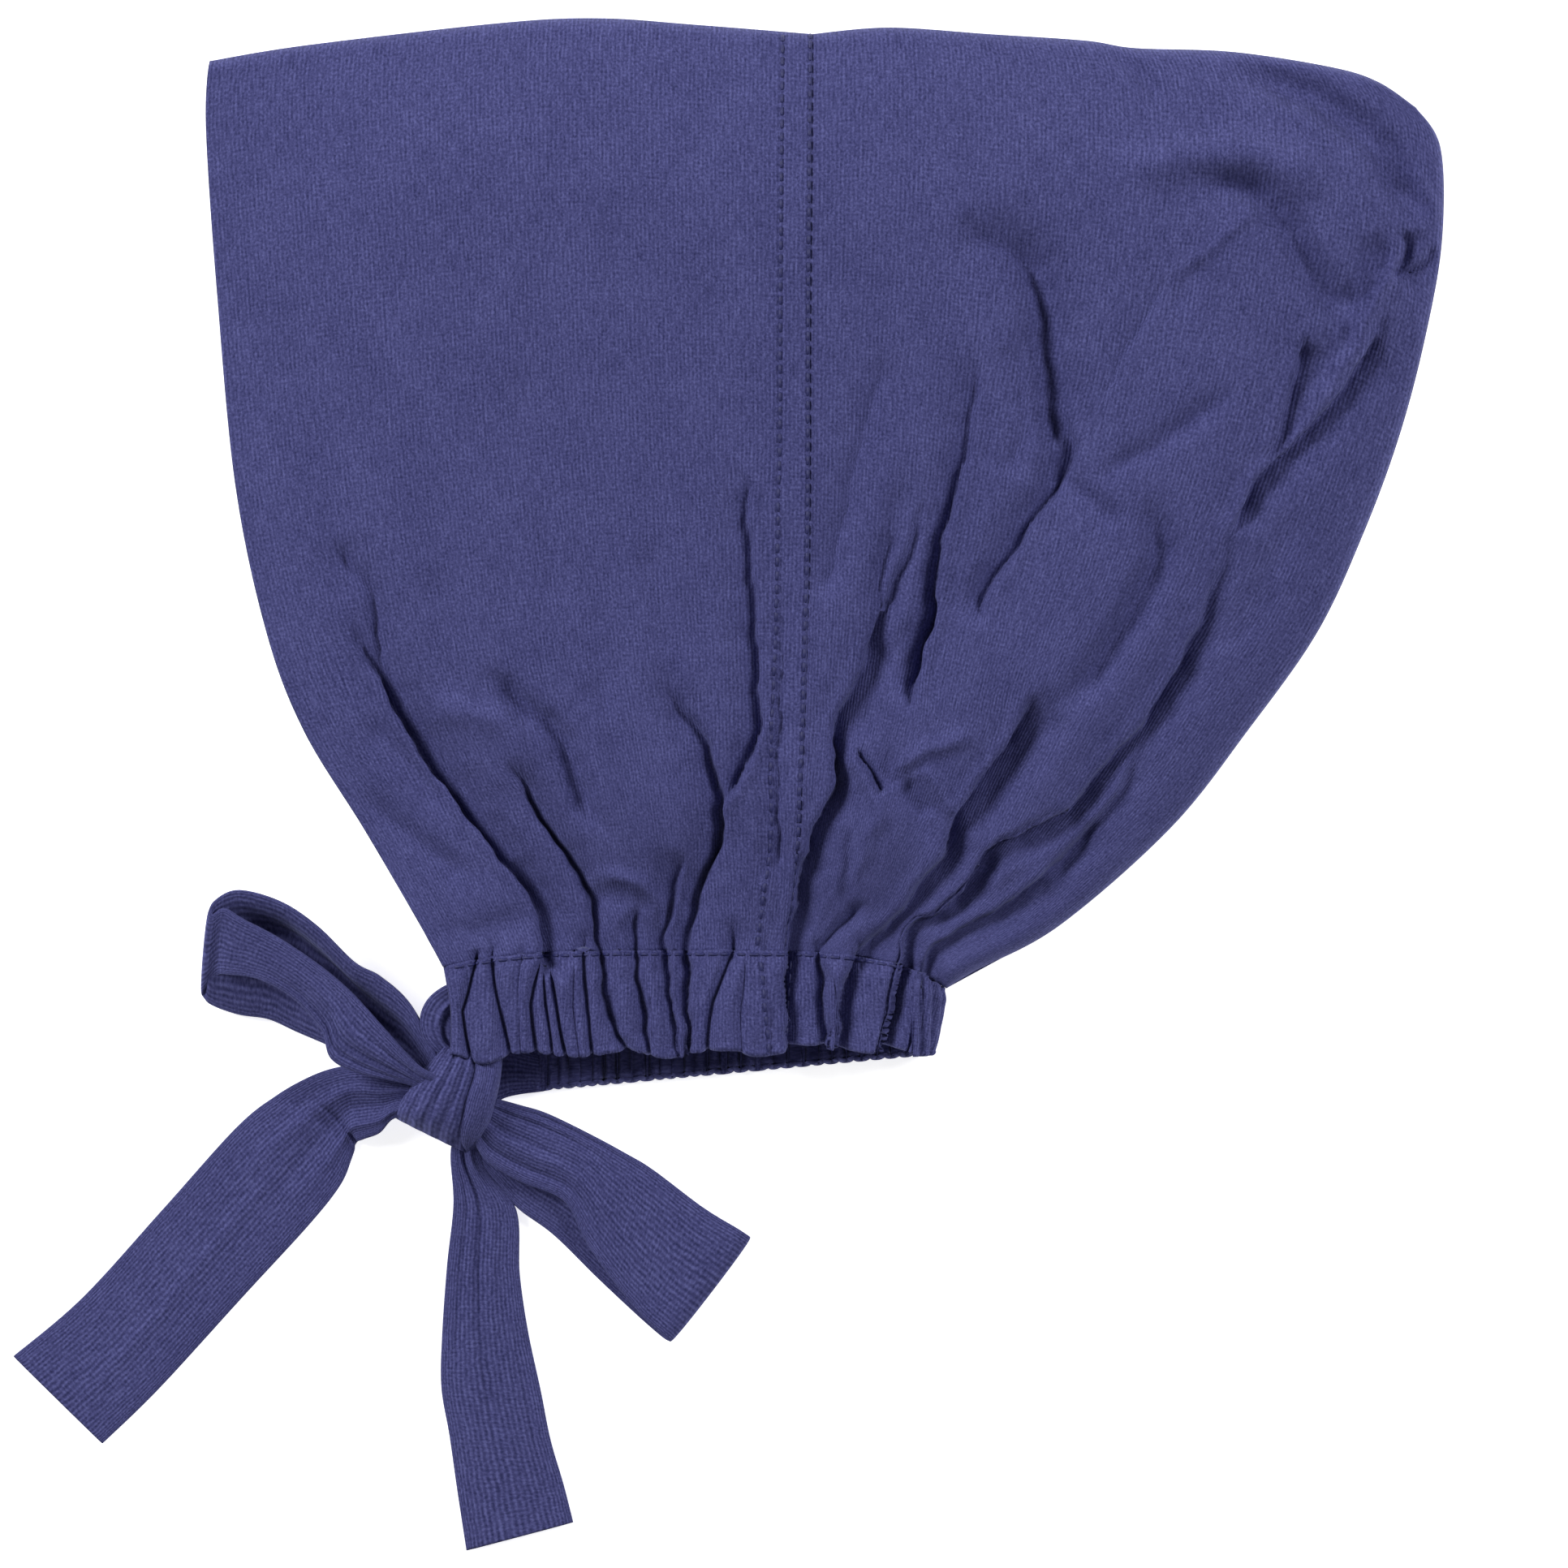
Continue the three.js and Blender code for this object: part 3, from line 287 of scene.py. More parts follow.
# %% Table of broad hollows, and of swellings as hollows of negative depth
HOLLOW_COLUMNS = ("depth", "left", "right", "path")
HOLLOWS = {
    "temple": (3.4, 2.0, 2.6, [(590, 815), (640, 862), (684, 898), (706, 940), (722, 988), (758, 1035)]),
    "temple ridge": (-1.4, 2.4, 3.0, [(520, 862), (600, 884), (632, 900), (650, 935), (668, 975)]),
    "jaw": (2.6, 2.4, 2.8, [(440, 972), (500, 1026), (535, 1057), (566, 1080), (600, 1090)]),
    "jaw upper": (1.3, 2.6, 3.0, [(438, 880), (482, 932), (512, 962), (550, 1018)]),
    "jaw base": (1.8, 2.6, 3.4, [(510, 1152), (600, 1146), (660, 1128)]),
    "cheek foot": (3.2, 3.0, 2.6, [(630, 1060), (664, 1120), (676, 1180), (680, 1215)]),
    "cheek dark": (1.6, 4.5, 3.0, [(430, 690), (470, 780), (500, 860), (560, 950), (620, 1040)]),
    "ear soft": (1.0, 4.0, 4.5, [(640, 440), (668, 600), (680, 650), (700, 760)]),
    "ear lower": (0.9, 3.0, 3.6, [(690, 690), (728, 780), (750, 830), (740, 900)]),
    "ear right": (0.8, 3.2, 3.2, [(786, 660), (828, 745), (850, 830)]),
    "cheek soft": (0.8, 2.6, 3.4, [(538, 690), (548, 800), (566, 890)]),
    "neck ridge": (-1.6, 1.4, 1.4, [(730, 1070), (778, 1084), (800, 1100), (812, 1125), (818, 1165)]),
    "neck dark": (1.4, 2.6, 2.6, [(728, 1092), (760, 1106), (806, 1122)]),
    "cone": (-1.9, 1.7, 2.0, [(1036, 900), (1058, 956), (1082, 995), (1064, 1030), (1048, 1100)]),
    "cone side": (1.4, 2.0, 2.4, [(1085, 905), (1100, 960), (1128, 1010), (1120, 1050)]),
    "small left": (1.3, 1.4, 1.4, [(1046, 1020), (1043, 1075), (1030, 1120)]),
    "small middle": (2.0, 1.5, 1.8, [(1106, 960), (1122, 978), (1140, 1004)]),
    "small top": (-1.8, 1.4, 1.4, [(1196, 899), (1134, 926), (1090, 952)]),
    "small side": (-1.6, 1.3, 1.3, [(1130, 940), (1150, 968), (1162, 1000)]),
    "hem gray": (2.4, 2.2, 3.0, [(1350, 1010), (1322, 1050), (1290, 1086)]),
    "long gray": (1.8, 2.0, 1.6, [(1230, 1050), (1200, 1090), (1160, 1120)]),
    "brow side": (2.0, 3.4, 3.4, [(1100, 760), (1086, 820), (1070, 880), (1066, 930)]),
    "bag hook": (2.0, 2.6, 2.6, [(1306, 584), (1342, 625), (1376, 662)]),
    "bag low": (3.8, 3.0, 2.8, [
        (1412, 600), (1424, 690), (1400, 742), (1372, 790), (1338, 838), (1290, 876)]),
    "bag": (4.4, 3.2, 2.8, [
        (1450, 236), (1530, 240), (1578, 280), (1602, 325), (1630, 368), (1668, 398), (1690, 404)]),
    "bag edge": (5.4, 4.0, 3.2, [
        (1500, 84), (1590, 112), (1655, 148), (1694, 184), (1716, 222), (1732, 258), (1738, 290)]),
    "bag light": (-3.0, 4.2, 4.6, [(1360, 225), (1450, 200), (1540, 196), (1600, 220), (1640, 262)]),
    "tuck finger": (-2.4, 1.5, 1.6, [
        (1722, 280), (1716, 310), (1706, 345), (1690, 378), (1664, 416), (1636, 462), (1600, 512)]),
    "edge rim": (-1.6, 1.2, 1.2, [(1742, 200), (1751, 230), (1764, 256), (1771, 284)]),
    "valley shade": (2.2, 4.4, 3.4, [(1190, 250), (1262, 325), (1286, 420), (1304, 540), (1300, 640)]),
    "cuff short": (1.9, 3.0, 3.2, [(1656, 384), (1644, 420), (1632, 455), (1622, 490)]),
    "tuck left": (2.4, 3.6, 3.0, [(1690, 290), (1684, 326), (1674, 360), (1654, 396)]),
    "back faint": (-0.9, 1.2, 1.2, [(1568, 244), (1500, 300), (1440, 350)]),
    "back patch": (1.0, 2.4, 2.4, [(1476, 325), (1444, 398)]),
    "crown nick": (1.7, 1.6, 2.0, [(1346, 46), (1382, 75), (1410, 100), (1434, 140)]),
    "back soft": (1.9, 2.0, 3.0, [(1520, 478), (1450, 535), (1402, 568), (1340, 604)]),
    "back right": (1.2, 4.0, 4.0, [(1600, 620), (1556, 715), (1510, 820)]),
    "seam gray": (1.5, 4.0, 3.0, [(1120, 560), (1100, 660), (1088, 740), (1060, 860)]),
    "nape gray": (2.4, 4.0, 3.4, [(1310, 850), (1270, 910), (1226, 965), (1190, 1030)]),
}
print(len(CREASES), "creases and", len(HOLLOWS), "hollows")

# %% [markdown]
# The depth at a point comes from the nearest point of a path, the distance to it and its side. For a
# crease an exponential of the distance gives the sharp bottom that cloth has where it turns on itself.
# A hollow is a bell curve, as a hand leaves it. Where creases meet, the deepest press and the deepest
# trough win. Lips and hollows add up.

# %% Depth of the creases and hollows
PATH_SAMPLES = 120
CREASE_START = 0.16
CREASE_END = 0.14
HOLLOW_FADE = 0.25
CREASE_ROUND = 0.15
LIP_WIDTH = 1.6
TROUGH_SHARE = 0.55
TROUGH_WIDTH = 5.2
PINCH = 0.55
PINCH_REACH = 2.2
CRISP = 4
LAP_REACH = 8
RUNS_ON = 1285
PATH_BOX = 22
WANDER = 0.28
# Each row: rate, bend and rate of the bend, then the second sine's two rates
WANDER_ACROSS = (0.52, 1.3, 0.23, 1.1, -0.4)
WANDER_DOWN = (0.45, 1.1, 0.31, 0.97, 0.5)


def beside(points, path):
    """Distance of each point to a path, whether it is on the left, and where on the path it is."""
    k = np.linspace(0, 1, PATH_SAMPLES)
    line = smooth_curve(on_mat(path))(k)
    ahead = np.gradient(line, axis=0)
    ahead /= np.linalg.norm(ahead, axis=1, keepdims=True)
    away = points[:, None, :] - line[None, :, :]
    reach = np.hypot(away[..., 0], away[..., 1])
    near = reach.argmin(axis=1)
    pick = np.arange(len(points))
    off = away[pick, near]
    left = ahead[near, 0] * off[:, 1] - ahead[near, 1] * off[:, 0] > 0
    normal = np.stack([-ahead[near, 1], ahead[near, 0]], axis=-1)
    return reach[pick, near], left, k[near], normal


def crease_field(points, row):
    """Press, trough, lip and sideways shift of one crease at the plan points, in millimetres.

    With d the distance to the path, the press is depth * strength * exp(-d / reach of that side),
    rounded a little at the bottom. The trough is a broad bell curve under it, by which the cloth between
    two creases stands as a roll, and the lip is a bell curve where the valley has almost closed. The
    shift draws both banks in, which makes the ditch narrow and the mesh dense there, and carries the
    lapping bank across by its overlap.
    """
    crease = dict(zip(CREASE_COLUMNS, row))
    d, left, k, normal = beside(points, crease["path"])
    force = smooth_step(k / CREASE_START)
    force = force * np.interp(k, np.linspace(0, 1, len(crease["strength"])), crease["strength"])
    if crease["path"][-1][1] < RUNS_ON:
        force = force * smooth_step((1 - k) / CREASE_END)
    width = np.where(left, crease["left"], crease["right"])
    soft = np.sqrt(d * d + CREASE_ROUND**2) - CREASE_ROUND
    press = crease["depth"] * force * np.exp(-soft / width)
    trough = TROUGH_SHARE * crease["depth"] * force * np.exp(-((d / TROUGH_WIDTH) ** 2))
    crest = LIP_WIDTH + width / 2
    lip = np.where(left, crease["lip_left"], crease["lip_right"])
    lips = lip * force * np.exp(-(((d - crest) / LIP_WIDTH) ** 2))
    crisp = smooth_step((CRISP - min(crease["left"], crease["right"])) / 2)
    inward = PINCH * crisp * force * d * np.exp(-d / PINCH_REACH)
    laps = left if crease["over"] > 0 else ~left
    lap = abs(crease["over"]) * force * smooth_step(d / crest) * np.exp(-np.maximum(d - crest, 0) / LAP_REACH)
    inward = inward + np.where(laps, lap, 0)
    return press, trough, lips, -np.where(left, 1, -1)[:, None] * normal * inward[:, None]


def hollow_field(points, row):
    """Bell curve across the path, each side with its own width, fading in and out along it."""
    hollow = dict(zip(HOLLOW_COLUMNS, row))
    d, left, k, _ = beside(points, hollow["path"])
    width = np.where(left, hollow["left"], hollow["right"])
    force = smooth_step(k / HOLLOW_FADE) * smooth_step((1 - k) / HOLLOW_FADE)
    return hollow["depth"] * force * np.exp(-((d / width) ** 2))


def near_path(flat, path):
    """Indices of the points inside the path's box, widened on all sides."""
    on = on_mat(path)
    inside = (flat > on.min(axis=0) - PATH_BOX) & (flat < on.max(axis=0) + PATH_BOX)
    return np.flatnonzero(inside.all(axis=1))


def slow_sines(u, w, row):
    """A sine of u, bent by a sine of w, plus half of a second sine of both."""
    rate, bend, bend_rate, second_u, second_w = row
    return np.sin(rate * u + bend * np.sin(bend_rate * w)) + 0.5 * np.sin(second_u * u + second_w * w)


def wandered(points):
    """The plan points moved a little by slow sines of their own place, so that no fold runs dead even."""
    x, y = points[..., 0], points[..., 1]
    across = slow_sines(y, x, WANDER_ACROSS)
    down = slow_sines(x, y, WANDER_DOWN)
    return points + WANDER * np.stack([across, down], axis=-1)


def folds(points):
    """Depth of the relief at the plan points, and the sideways shift that goes with it."""
    flat = wandered(points).reshape(-1, 2)
    press = np.zeros(len(flat))
    broad = np.zeros(len(flat))
    rest = np.zeros(len(flat))
    shift = np.zeros(flat.shape)
    for row in CREASES.values():
        inside = near_path(flat, row[-1])
        one, trough, lips, move = crease_field(flat[inside], row)
        press[inside] = np.maximum(press[inside], one)
        broad[inside] = np.maximum(broad[inside], trough)
        rest[inside] -= lips
        shift[inside] += move
    for row in HOLLOWS.values():
        inside = near_path(flat, row[-1])
        rest[inside] += hollow_field(flat[inside], row)
    return (press + broad + rest).reshape(points.shape[:-1]), shift.reshape(points.shape)


# %% [markdown]
# ## Gathers
#
# The elastic draws about twice its length of cloth together, so the casing stands in narrow pleats,
# which run a little way up into the body. Each pleat is a sharp ditch between two soft rolls. The table
# gives the ditch's place at the stitched edge, at mid width and at the hem, because most of them lean.

# %% Table of gathers
# Each row: place at the top, at mid width and at the hem, width, depth, rise, and where down it starts
GATHERS = [
    (588, 572, 582, 0.77, 2.9, 3, 0),
    (606, 617, 630, 0.77, 2.9, 5, 0.1),
    (640, 640, 644, 0.88, 1, 5, 0),
    (664, 655, 660, 0.9, 3.2, 10, 0),
    (669, 672, 682, 0.61, 2.6, 4, 0.2),
    (674, 685, 697, 0.66, 3.2, 8, 0.1),
    (706, 704, 712, 0.88, 1.2, 6, 0),
    (714, 719, 729, 0.88, 3.2, 6, 0.1),
    (762, 765, 768, 0.88, 1.2, 8, 0),
    (803, 803, 804, 0.55, 2.8, 3, 0.5),
    (905, 883, 880, 1.2, 3.5, 8, 0),
    (918, 914, 912, 0.88, 1.2, 6, 0.2),
    (938, 940, 944, 0.77, 1, 5, 0),
    (1000, 1000, 999, 0.55, 2.3, 4, 0.1),
    (1022, 1024, 1021, 0.66, 1.4, 6, 0.3),
    (1049, 1045, 1040, 0.55, 2, 8, 0),
    (1066, 1064, 1058, 0.88, 1, 6, 0),
    (1090, 1080, 1068, 0.5, 2.2, 3, 0.2),
    (1119, 1111, 1100, 0.5, 3.2, 4, 0),
    (1129, 1122, 1112, 0.45, 2.8, 4, 0.1),
    (1148, 1142, 1133, 0.45, 2.6, 3, 0.05),
    (1158, 1152, 1143, 0.6, 3, 4, 0.1),
]
GATHER_ROUND = 0.12
GATHER_SPREAD = 12
GATHER_WANDER = 0.25
GATHER_PINCH = 0.55
GATHER_DRAW = 0.9
GATHER_FADE = 0.25


def gather_relief(x, down, up):
    """How deep the gathers press at x, and how far they draw the cloth sideways, in millimetres.

    x is the place along the neck in millimetres. down runs 0 to 1 from the stitched edge to the hem and
    bends each ditch through its three places, with a slow wander; up is the distance above the stitched
    edge, in which a ditch fades as smooth_step over its rise. Each is depth * exp(-|x - ditch| / width),
    the deepest wins, and it draws the cloth beside it inwards.
    """
    shape = np.broadcast(x, down, up).shape
    press = np.zeros(shape)
    shift = np.zeros(shape)
    for number, (top, mid, hem, width, depth, rise, start) in enumerate(GATHERS):
        places = on_mat([(top, 0), (mid, 0), (hem, 0)])[:, 0]
        ditch = np.interp(down, [0, 0.5, 1], places)
        ditch = ditch + GATHER_WANDER * np.sin(2.4 * number + 7 * down) * down
        away = np.abs(x - ditch)
        soft = np.sqrt(away**2 + GATHER_ROUND**2) - GATHER_ROUND
        fade = (1 - smooth_step(up / rise)) * smooth_step(1 + (down - start) / GATHER_FADE)
        one = depth * fade * np.exp(-soft / (width * (1 + up / GATHER_SPREAD)))
        deepest = one > press
        press = np.where(deepest, one, press)
        drawn = (ditch - x) * GATHER_PINCH * fade * np.exp(-away / GATHER_DRAW)
        shift = np.where(deepest, drawn, shift)
    return press, shift


print(len(GATHERS), "gathers")

# %% [markdown]
# ## The two panels
#
# Each panel is a Coons patch: the two surfaces ruled between opposite edges, added, less the flat one
# through the corners. It carries the four edges exactly. The sheet runs from the lower layer's neck
# round the crown fold to the upper layer's neck, so the crown is one continuous piece of cloth.

# %% Height of the panels
ROW_WIDTH = 0.7
ROW_SINK = 0.3
RIPPLE_DEPTH = 0.3
# Each row: rate across, rate towards the crown, phase, strength
RIPPLES = [(61, 5, 0, 1), (97, -7, 1, 0.7), (149, 4, 2, 0.5)]


def patch(panel, a, t):
    """Coons patch of the panel's four edge curves at shares a across and t from neck to crown."""
    low, high = panel["shares"]
    a = a[..., None]
    t1 = t[..., None]
    bottom = neck_point(mix(low, high, a[..., 0]))
    across = mix(panel["left"](t), panel["right"](t), a)
    along = mix(bottom, panel["top"](a[..., 0]), t1)
    base = mix(neck_point(low), neck_point(high), a)
    roof = mix(panel["top"](0.0), panel["top"](1.0), a)
    return across + along - mix(base, roof, t1)


def seam_allowance(panel, plan, t):
    """Raised strip left of the seam line: full over the band, sloping off over the step beside it."""
    reach = span(seam_line(t), plan)
    sink = ROW_SINK * np.exp(-((reach / ROW_WIDTH) ** 2))
    if panel is not PANELS["front"]:
        return SEAM_RELIEF * (1 - smooth_step(reach / SEAM_STEP)) - sink
    strip = smooth_step((SEAM_BAND + SEAM_STEP - reach) / SEAM_STEP)
    return SEAM_RELIEF * strip - sink - ROW_SINK * np.exp(-((reach - SEAM_BAND) / ROW_WIDTH) ** 2)


def ripples(share, t):
    """Faint ripples that fan out from the neck: sines of the share across, weaker towards the crown."""
    fan = sum(part * np.sin(across * share + up * t + phase) for across, up, phase, part in RIPPLES)
    return RIPPLE_DEPTH * fan * (1 - t) ** 2


def cap_surface(panel, a, v):
    """Outer surface of the cap at shares a across and v from -1, the lower neck, to 1, the upper neck.

    The plan point is the patch's. The height is that of the rounded fold plus a parabola's swell in
    from the crown, the back and the face edge, plus the seam, less the folds and the gathers.
    """
    t = 1 - np.abs(v)
    plan = patch(panel, a, t)
    low, high = panel["shares"]
    share = mix(low, high, a)
    crown = span(panel["top"](a), plan)
    back = span(back_edge(t), plan)
    face = span(face_edge(t), plan)
    up = span(neck_point(share), plan)
    neck = 1 - smooth_step(up / NECK_REACH)
    middle = mix(EDGE_HEIGHT, NECK_TOP, neck) / 2
    rounded = round_over(crown, middle) * round_over(back, middle)
    inner = swell(crown, PUFF_REACH) * swell(back, PUFF_REACH)
    face_share = mix((FACE_HEIGHT - EDGE_HEIGHT) / PUFF, 1, swell(face, FACE_REACH))
    puff = PUFF * inner * face_share * (1 - neck)
    edge = swell(crown, EDGE_FADE) * swell(back, EDGE_FADE / 2)
    relief, shift = folds(plan)
    hold = edge * swell(face, FACE_FADE) * mix(1, NECK_HOLD, neck)
    gathers, drawn = gather_relief(plan[..., 0], np.zeros(t.shape), up)
    relief = relief + ripples(share, t) * (1 - neck)
    top = middle * (1 + rounded) + puff + seam_allowance(panel, plan, t) * edge
    room = np.maximum(top - middle - CLOTH, MIN_ROOM)
    top = top - soft_limit(gathers * edge + relief * hold, room)
    shift = shift * hold[..., None]
    shift[..., 0] += drawn * edge
    lift = 1 - round_over(np.abs(a - (0 if panel is PANELS["back"] else 1)), SEAM_HOLD)
    shift *= (1 - lift)[..., None] * (v > 0)[..., None]
    slip = (1 - share) * (1 - t) ** 3
    under = middle * (1 - rounded)
    z = np.where(v < 0, under, np.maximum(top, middle + CLOTH))
    x = plan[..., 0] + shift[..., 0] + np.where(v < 0, LOWER_SETBACK * slip, 0)
    y = plan[..., 1] + shift[..., 1] - np.where(v < 0, LOWER_DROP * slip, 0)
    return np.stack([x, y, z], axis=-1)


# %% [markdown]
# A surface becomes a mesh by joining its grid of points into quads. Its UV map holds the cloth's own
# lengths, 1 for each 100 mm, so that the knit's wales run along the cloth wherever it turns.

# %% Meshes from grids
MM = 0.001
UV_LENGTH = 100


def grid_faces(rows, columns, wrap=False):
    """Quads of a grid: corner, next along the row, the one above it, and the one above the corner."""
    j, i = np.meshgrid(np.arange(rows - 1), np.arange(columns if wrap else columns - 1), indexing="ij")
    right = (i + 1) % columns
    quads = [j * columns + i, j * columns + right, (j + 1) * columns + right, (j + 1) * columns + i]
    return np.stack(quads, axis=-1).reshape(-1, 4)


def cloth_object(name, points, faces, uv):
    """Mesh object of the points (mm), quads and one UV pair for each point (mm of cloth)."""
    mesh = bpy.data.meshes.new(name)
    mesh.from_pydata((points * MM).tolist(), [], faces.tolist())
    layer = mesh.uv_layers.new(name="cloth")
    corner = np.empty(len(mesh.loops), int)
    mesh.loops.foreach_get("vertex_index", corner)
    layer.data.foreach_set("uv", (uv[corner] / UV_LENGTH).ravel())
    mesh.polygons.foreach_set("use_smooth", np.ones(len(mesh.polygons), bool))
    mesh.update()
    piece = bpy.data.objects.new(name, mesh)
    bpy.context.scene.collection.objects.link(piece)
    return piece


def add_wall(piece, thickness, offset=-1):
    """Solidify gives the sheet its wall, inwards from the surface that was worked out."""
    wall = piece.modifiers.new("wall", "SOLIDIFY")
    wall.thickness = thickness * MM
    wall.offset = offset
    wall.use_even_offset = False
    return piece


# %% Make the two panels
PANEL_COLUMNS = {"front": 168, "back": 176}
PANEL_ROWS = 226
UNDER_ROWS = 26
UNDER_CROWDING = 1.6
CROWN_CROWDING = 1.25
NECK_CROWDING = 1.1
WIDTH_AT = 0.7


def make_panel(name, panel, columns):
    """Grid of one panel: few rows in the flat lower layer and many in the upper one.

    Powers crowd the rows towards the crown and the neck. The UV map's width is the panel's at WIDTH_AT.
    """
    a = np.linspace(0, 1, columns)
    under = -np.linspace(1, 0, UNDER_ROWS, endpoint=False) ** UNDER_CROWDING
    upper = np.linspace(0, 1, PANEL_ROWS)
    upper = mix(upper**CROWN_CROWDING, 1 - (1 - upper) ** NECK_CROWDING, upper)
    v, across = np.meshgrid(np.concatenate([under, upper]), a, indexing="ij")
    points = cap_surface(panel, across, v)
    width = float(span(panel["left"](WIDTH_AT), panel["right"](WIDTH_AT)))
    uv = np.stack([across * width, (1 + v) * CAP_DEPTH], axis=-1)
    faces = grid_faces(*v.shape)[:, ::-1]
    piece = cloth_object(name, points.reshape(-1, 3), faces, uv.reshape(-1, 2))
    return add_wall(piece, CLOTH)


front_cloth = make_panel("front_cloth", PANELS["front"], PANEL_COLUMNS["front"])
back_cloth = make_panel("back_cloth", PANELS["back"], PANEL_COLUMNS["back"])
print("front and back:", len(front_cloth.data.polygons), len(back_cloth.data.polygons), "quads")

# %% [markdown]
# ## The neck casing
#
# A tube of jersey round an elastic, sewn to the neck. Laid flat it is a band that runs along the upper
# layer, turns at the back of the neck and comes back underneath, where its hem shows below the upper
# strip. One function carries the band round that hairpin, and the gathers press into it everywhere.

# %% The casing's band
CASING_STEPS = {"upper": 400, "turn": 30, "lower": 250}
CASING_ROWS = 44
CASING_PUFF = 0.9
CASING_END = 1.8
CASING_LEAN = 2.6
CASING_TUCK = 1.6
HEM_WAVE = 0.3
HEM_RIM = 0.35
HEM_SWAY = 0.5
HEM_SWAY_RATE = 0.33
# Each row: place, width, drop
HEM_DROPS = [(594, 24, 1.3), (838, 26, 1.2), (905, 16, -0.9), (1010, 60, -0.9), (1145, 20, 0.3)]
CASING_SINK = 0.12
CASING_RIPPLE = 0.35
FINE_DEPTH = 1.9
FINE_WIDTH = 0.45
TURN_PITCH = 3.1
TURN_START = 1.04
UPPER_FADE = (1.1, 0.4)
LEAN_FADE = (1.6, 0.5)
LEAN_SHARE = 0.9
TUCK_SHARE = 0.07
ARCH_POWER = 8
ARCH_RISE = 0.2
ARCH_SHARE = 0.6
ROW_DOWN = 0.035
ROW_BAND = 0.03
RIM_DOWN = 0.965
RIM_BAND = 0.02
END_SHARE = 0.03
SCALLOP_START = 0.7
CASING_SHEET = 1.6
UV_ROW = 20
LOWER_GATHERS = [615, 682, 694, 709, 723, 736, 752, 769, 788, 807, 820, 834, 850, 863, 880, 904, 922,
                 946, 962, 980, 1000, 1016, 1034, 1052, 1072, 1090, 1108, 1126]


def strip_place(s):
    """Place along the neck in millimetres, its share, the angle round the turn, and the lower slip.

    s runs 0 to 1 along the upper strip, 1 to 2 round the turn, which is a half circle, and 2 to 3 back
    along the lower one, which lies further down and starts nearer the back.
    """
    radius = CASING_HEIGHT / 2
    straight = CASING_LENGTH - radius
    turn = np.clip(s - 1, 0, 1)
    angle = np.pi / 2 - np.pi * turn
    lower_length = CASING_LENGTH - LOWER_SETBACK
    reach = straight + radius * np.cos(angle)
    first = (straight - LOWER_SETBACK) / lower_length
    share = np.where(turn < 0.5, reach / CASING_LENGTH, (reach - LOWER_SETBACK) / lower_length)
    share = np.where(s < 1, s * straight / CASING_LENGTH, share)
    share = np.where(s > 2, first * (3 - s), share)
    slip = np.where(turn < 0.5, 0, 1 - share)
    along = np.where(s < 1, s * straight, straight)
    along = np.where(s > 2, share * CASING_LENGTH + LOWER_SETBACK * (1 - share), along)
    return neck_point(0)[0] + along, share, angle, slip


def hem_line(x):
    """How far the elastic lets the hem of the upper strip hang or pulls it up at x, in millimetres."""
    sway = HEM_SWAY * np.sin(HEM_SWAY_RATE * x + 1)
    for place, width, drop in HEM_DROPS:
        middle = on_mat([(place, 0)])[0, 0]
        sway = sway - drop * np.exp(-(((x - middle) / (width * STEP)) ** 2))
    return sway


